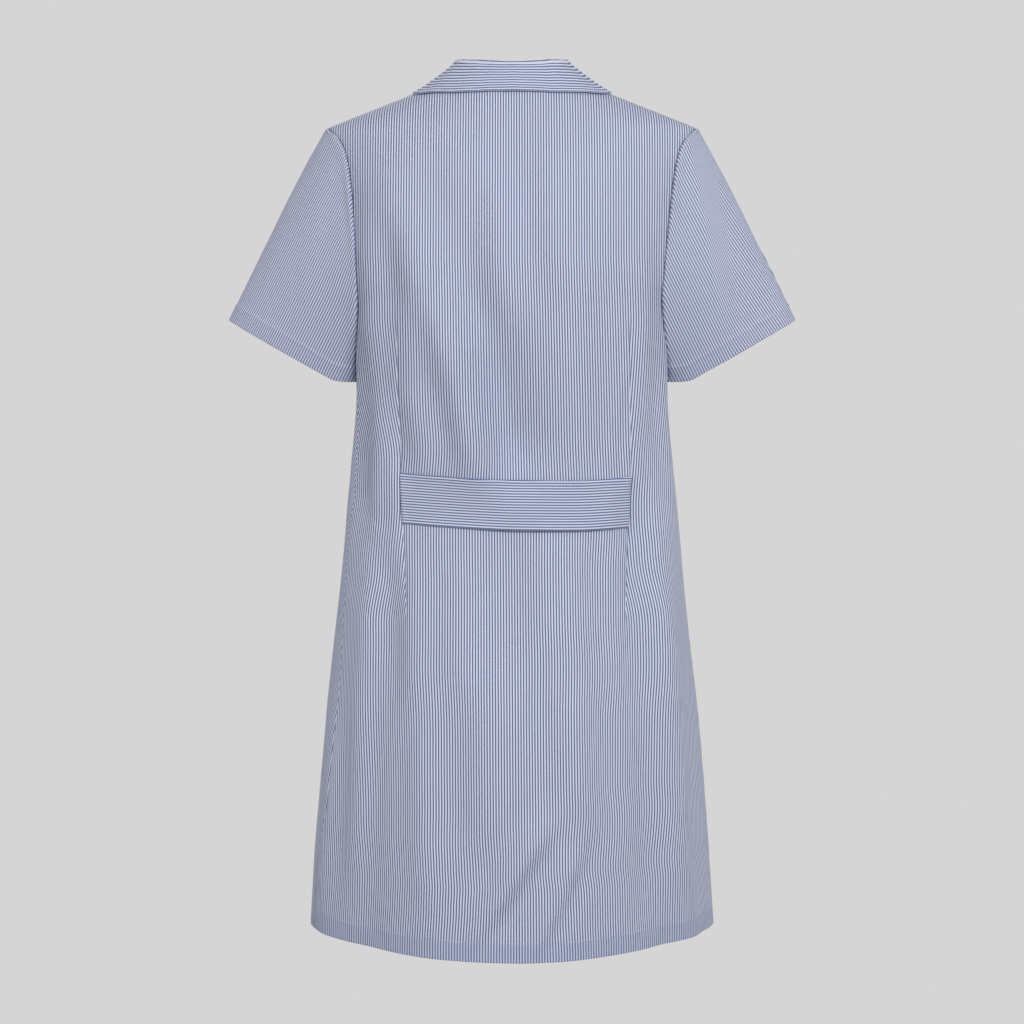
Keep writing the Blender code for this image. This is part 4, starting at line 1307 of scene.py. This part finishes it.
def hemLine(start, end, lift=lambda angle, level: 0):
    # the stitching above the dress's hem, between two angles
    angle = np.radians(np.linspace(start, end, 400))
    level = hemLevel(angle) + clothFacts["hemBand"]
    raised = clothFacts["lineLift"] - clothFacts["stitchGroove"] + lift(angle, level)
    return clothPoint(angle, level, raised), False


seamNames = ("leftSeam", "rightSeam")
leftSeam, rightSeam = (float(read(dressForm["turns"], name, dressForm["sideHem"])) for name in seamNames)
lapAngle = math.degrees(float(angleAt(frontPanels["lap"], dressForm["sideHem"], False)))
backHem = hemLine(leftSeam + stitchClear, 180 - rightSeam - stitchClear)
leftHem = hemLine(leftSeam - stitchClear, -180 - lapAngle)
rightHem = hemLine(180 - rightSeam + stitchClear, 360 + lapAngle, lapLift)
stitchRuns = [
    ("backHemStitches", [backHem], "hem", thread),
    ("leftHemStitches", [leftHem], "hem", thread),
    ("rightHemStitches", [rightHem], "hem", thread),
    ("sleeveStitches_left", [(leftHemLine, True)], "hem", thread),
    ("sleeveStitches_right", [(rightHemLine, True)], "hem", thread),
    ("collarStitches", [(collarLine, False)], "edge", blueThread),
    ("beltStitches", [(line, False) for line in beltLines], "edge", blueThread),
]
stitches = [stitchAlong(name, lines, stitchSizes[size], finish) for name, lines, size, finish in stitchRuns]
print("stitches made")


buttonFacts = {
    "count": 8,
    "radius": 0.009,
    "thick": 0.0032,
    "first": -0.098,
    "pitch": 0.098,
    "gap": 0.0004,
    "holeRadius": 0.00085,
    "holeReach": 0.0019,
    # outline from the middle of the face out and round to the middle of the base, as shares
    "outline": [(0.0, 0.66), (0.50, 0.66), (0.60, 0.70), (0.68, 0.82), (0.76, 0.95), (0.84, 1.00), (0.91, 0.98),
                (0.97, 0.88), (1.00, 0.72), (1.00, 0.42), (0.97, 0.22), (0.90, 0.06), (0.80, 0.00), (0.0, 0.00)],
    "threadRadius": 0.00028,
    "threadShift": 0.00022,
    "threadStep": 0.00030,
    "threadBeads": 9,
    "threadRise": (-0.0006, 0.0011),
    "holeLength": 0.021,
    "holeStitches": 64,
    "stitchRadius": 0.0003,
    "stitchWidth": 0.00120,
    "stitchReach": 0.0009,
    "barRadius": 0.00042,
    "barStep": 0.0006,
    "barBeads": 5,
    "sharpest": 50,
}


def toMesh(name, made):
    mesh = bpy.data.meshes.new(name)
    made.to_mesh(mesh)
    made.free()
    return mesh


def beadMesh(name, beads):
    made = bmesh.new()
    for radius, place in beads:
        bmesh.ops.create_icosphere(made, subdivisions=1, radius=radius, matrix=place)
    return toMesh(name, made)


def buttonMesh():
    facts = buttonFacts
    disc = bmesh.new()
    ring = [disc.verts.new((x * facts["radius"], 0, z * facts["thick"])) for x, z in facts["outline"]]
    links = [disc.edges.new(pair) for pair in zip(ring, ring[1:])]
    bmesh.ops.spin(disc, geom=ring + links, cent=(0, 0, 0), axis=(0, 0, 1), angle=math.tau, steps=48,
                   use_merge=True)
    bmesh.ops.remove_doubles(disc, verts=disc.verts[:], dist=1e-6)
    bmesh.ops.recalc_face_normals(disc, faces=disc.faces[:])
    whole = linked("buttonBlank", toMesh("button", disc))
    drill = bmesh.new()
    reach, radius = facts["holeReach"] / math.sqrt(2), facts["holeRadius"]
    for x, y in ((1, 1), (1, -1), (-1, 1), (-1, -1)):
        place = Matrix.Translation((x * reach, y * reach, facts["thick"] / 2))
        bmesh.ops.create_cone(drill, cap_ends=True, segments=16, radius1=radius, radius2=radius,
                              depth=facts["thick"] * 2, matrix=place)
    holes = linked("drill", toMesh("drill", drill))
    cutter = whole.modifiers.new("holes", "BOOLEAN")
    cutter.operation, cutter.object, cutter.solver = "DIFFERENCE", holes, "EXACT"
    depsgraph = bpy.context.evaluated_depsgraph_get()
    result = bpy.data.meshes.new_from_object(whole.evaluated_get(depsgraph), depsgraph=depsgraph)
    bpy.data.objects.remove(whole)
    bpy.data.objects.remove(holes)
    return result


def threadCross():
    # two double bars of thread from hole to hole
    facts, beads = buttonFacts, []
    radius, reach, steps = facts["threadRadius"], facts["holeReach"] / math.sqrt(2), facts["threadBeads"] - 1
    low, rise = facts["threadRise"]
    longer = Matrix.Scale(facts["threadStep"] / radius, 4, (1, 0, 0))
    for y in (reach, -reach):
        for shift in (-facts["threadShift"], facts["threadShift"]):
            for n in range(steps + 1):
                x = (2 * n / steps - 1) * reach
                z = facts["thick"] * 0.66 + low + rise * math.sin(math.pi * n / steps) ** 0.6
                beads.append((radius, Matrix.Translation((x, y + shift, z)) @ longer))
    return beadMesh("threadCross", beads)


def buttonPlace(level, lift):
    angle = -math.pi / 2
    spot = Vector(clothPoint(angle, level, float(lapLift(angle, level)) + lift))
    facing = Vector(normalsAt(angle, level)).to_track_quat("Z", "Y")
    return Matrix.Translation(spot) @ facing.to_matrix().to_4x4()


def addPlaced(name, mesh, place, finish):
    mesh.transform(place)
    mesh.materials.clear()
    mesh.materials.append(finish)
    mesh.shade_smooth()
    mesh.set_sharp_from_angle(angle=math.radians(buttonFacts["sharpest"]))
    return linked(name, mesh)


def buttonholeMesh():
    # a ring of close stitches round a slit, along the local Y axis, with a bar at each end
    facts, beads = buttonFacts, []
    radius, half, perSide = facts["stitchRadius"], facts["holeLength"] / 2, facts["holeStitches"] // 2
    wider = Matrix.Diagonal((facts["stitchWidth"] / 2 / radius, 1, 0.8, 1))
    for side in (1, -1):
        for n in range(perSide):
            y = n / perSide * 2 * half - half
            place = Matrix.Translation((side * facts["stitchReach"], y * side, 0.0001))
            beads.append((radius, place @ wider))
    for end in (-1, 1):
        for n in range(facts["barBeads"]):
            x = (n - facts["barBeads"] // 2) * facts["barStep"]
            beads.append((facts["barRadius"], Matrix.Translation((x, end * (half + 0.0004), 0.0002))))
    return beadMesh("buttonhole", beads)


buttonBlank, crossBlank, holeBlank = buttonMesh(), threadCross(), buttonholeMesh()
buttons = []
for n in range(buttonFacts["count"]):
    level = buttonFacts["first"] - n * buttonFacts["pitch"]
    place = buttonPlace(level, buttonFacts["gap"] + 0.0001)
    turn = Matrix.Rotation(math.radians((n * 37) % 90 - 45) * 0.4, 4, "Z")
    button = addPlaced(f"button_{n + 1}_disc", buttonBlank.copy(), place @ turn, plastic)
    cross = addPlaced(f"button_{n + 1}_thread", crossBlank.copy(), place @ turn, thread)
    hole = addPlaced(f"buttonhole_{n + 1}", holeBlank.copy(), buttonPlace(level - 0.001, 0.0001), blueThread)
    buttons.append((button, cross, hole))
print("buttons made")


holes = [hole for _, _, hole in buttons]
clothPieces = [
    (back, "back", backPanel, ["collar"]),
    (frontLeft, "front_left", frontPanels, ["collar"]),
    (frontRight, "front_right", frontPanels, ["collar"]),
    (sleeveLeft, "sleeve_left", sleevePieces, ["back"]),
    (sleeveRight, "sleeve_right", sleevePieces, ["back"]),
    (collar, "collar", collarPiece, ["back"]),
    (belt, "half_belt", halfBelt, ["back"]),
]
onPieces = [[run] + (holes if piece is frontRight else []) for run, (piece, *_) in zip(stitches, clothPieces)]
for (piece, node, spec, restsOn), onIt in zip(clothPieces, onPieces):
    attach(piece, "root")
    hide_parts(*[node + half for half in (("_back", "_front") if "sleeve" in node else ("",))])
    for part in onIt:
        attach(part, "root")
for n, (button, cross, _) in enumerate(buttons):
    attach(button, "root")
    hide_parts(f"button_{n + 1}")
    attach(cross, "root")


for (piece, node, spec, restsOn), onIt in zip(clothPieces, onPieces):
    area = sum(face.area for face in piece.data.polygons) / 2  # of one side of the thin shell
    print(node, "area", round(area, 4), "stated", spec["area"])

studio = {
    "pale": linear(213, 213, 213),
    "floor": -1.35,
    "cameraDistance": 2.6,
    "pitch": 4.0,
    "aim": -0.483,
    "focalPixels": 2301.0,
    "frame": 1024,
    "sensor": 36.0,
    "world": 0.46,
    "lightAim": -0.45,
    "floorReach": 30.0,
    # place, size and power
    "lights": {
        "key": ((-1.0, 2.7, 0.65), 1.3, 60.0),
        "leftFill": ((3.0, 1.9, 0.3), 1.8, 22.0),
        "leftRim": ((2.4, -1.3, -0.2), 1.4, 9.0),
        "rightRim": ((-2.4, -1.3, -0.2), 1.4, 9.0),
        "frontFill": ((0.7, -3.0, 0.5), 1.6, 44.0),
    },
}


def plainBacking():
    # shows the camera the backdrop's grey and lights the dress a little less
    made = bpy.data.materials.new("paleFloor")
    made.use_nodes = True
    made.node_tree.nodes.clear()
    w = Wire(made.node_tree)
    seen = w.node("ShaderNodeLightPath", (), (), "Is Camera Ray")
    strength = w.node("ShaderNodeMapRange", (), {"Value": seen, "To Min": studio["world"]})
    glow = w.node("ShaderNodeEmission", (), {"Color": studio["pale"], "Strength": strength})
    feed(w.tree.nodes.new("ShaderNodeOutputMaterial"), glow, "Surface")
    return made


def addFloor():
    reach, z = studio["floorReach"], studio["floor"]
    corners = [(-reach, -reach, z), (reach, -reach, z), (reach, reach, z), (-reach, reach, z)]
    return addMesh("paleFloor", corners, [(0, 1, 2, 3)], plainBacking())


def addLight(name, place, size, power):
    lamp = bpy.data.lights.new(name, "AREA")
    lamp.shape, lamp.size, lamp.energy = "DISK", size, power
    made = linked(name, lamp)
    made.location = place
    aim = Vector((0, 0, studio["lightAim"])) - made.location
    made.rotation_euler = aim.to_track_quat("-Z", "Y").to_euler()


def addCamera():
    camera = bpy.data.cameras.new("photoView")
    camera.lens = studio["focalPixels"] / studio["frame"] * studio["sensor"]
    camera.sensor_width = studio["sensor"]
    made = linked("photoView", camera)
    pitch, distance = math.radians(studio["pitch"]), studio["cameraDistance"]
    made.location = (0.0, distance * math.cos(pitch), studio["aim"] + distance * math.sin(pitch))
    made.rotation_euler = (math.pi / 2 - pitch, 0.0, math.pi)
    bpy.context.scene.camera = made


def addWorld():
    world = bpy.data.worlds.new("paleRoom")
    world.use_nodes = True
    world.node_tree.nodes.clear()
    w = Wire(world.node_tree)
    lit = w.node("ShaderNodeBackground", (), {"Color": studio["pale"], "Strength": studio["world"]})
    shown = w.node("ShaderNodeBackground", (), {"Color": studio["pale"]})
    seen = w.node("ShaderNodeLightPath", (), (), "Is Camera Ray")
    mixed = w.node("ShaderNodeMixShader", (), {0: seen, 1: lit, 2: shown})
    feed(w.tree.nodes.new("ShaderNodeOutputWorld"), mixed, "Surface")
    bpy.context.scene.world = world


addFloor()
for name, facts in studio["lights"].items():
    addLight(name, *facts)
addCamera()
addWorld()
bpy.context.scene.view_settings.view_transform = "Standard"
print("studio made")
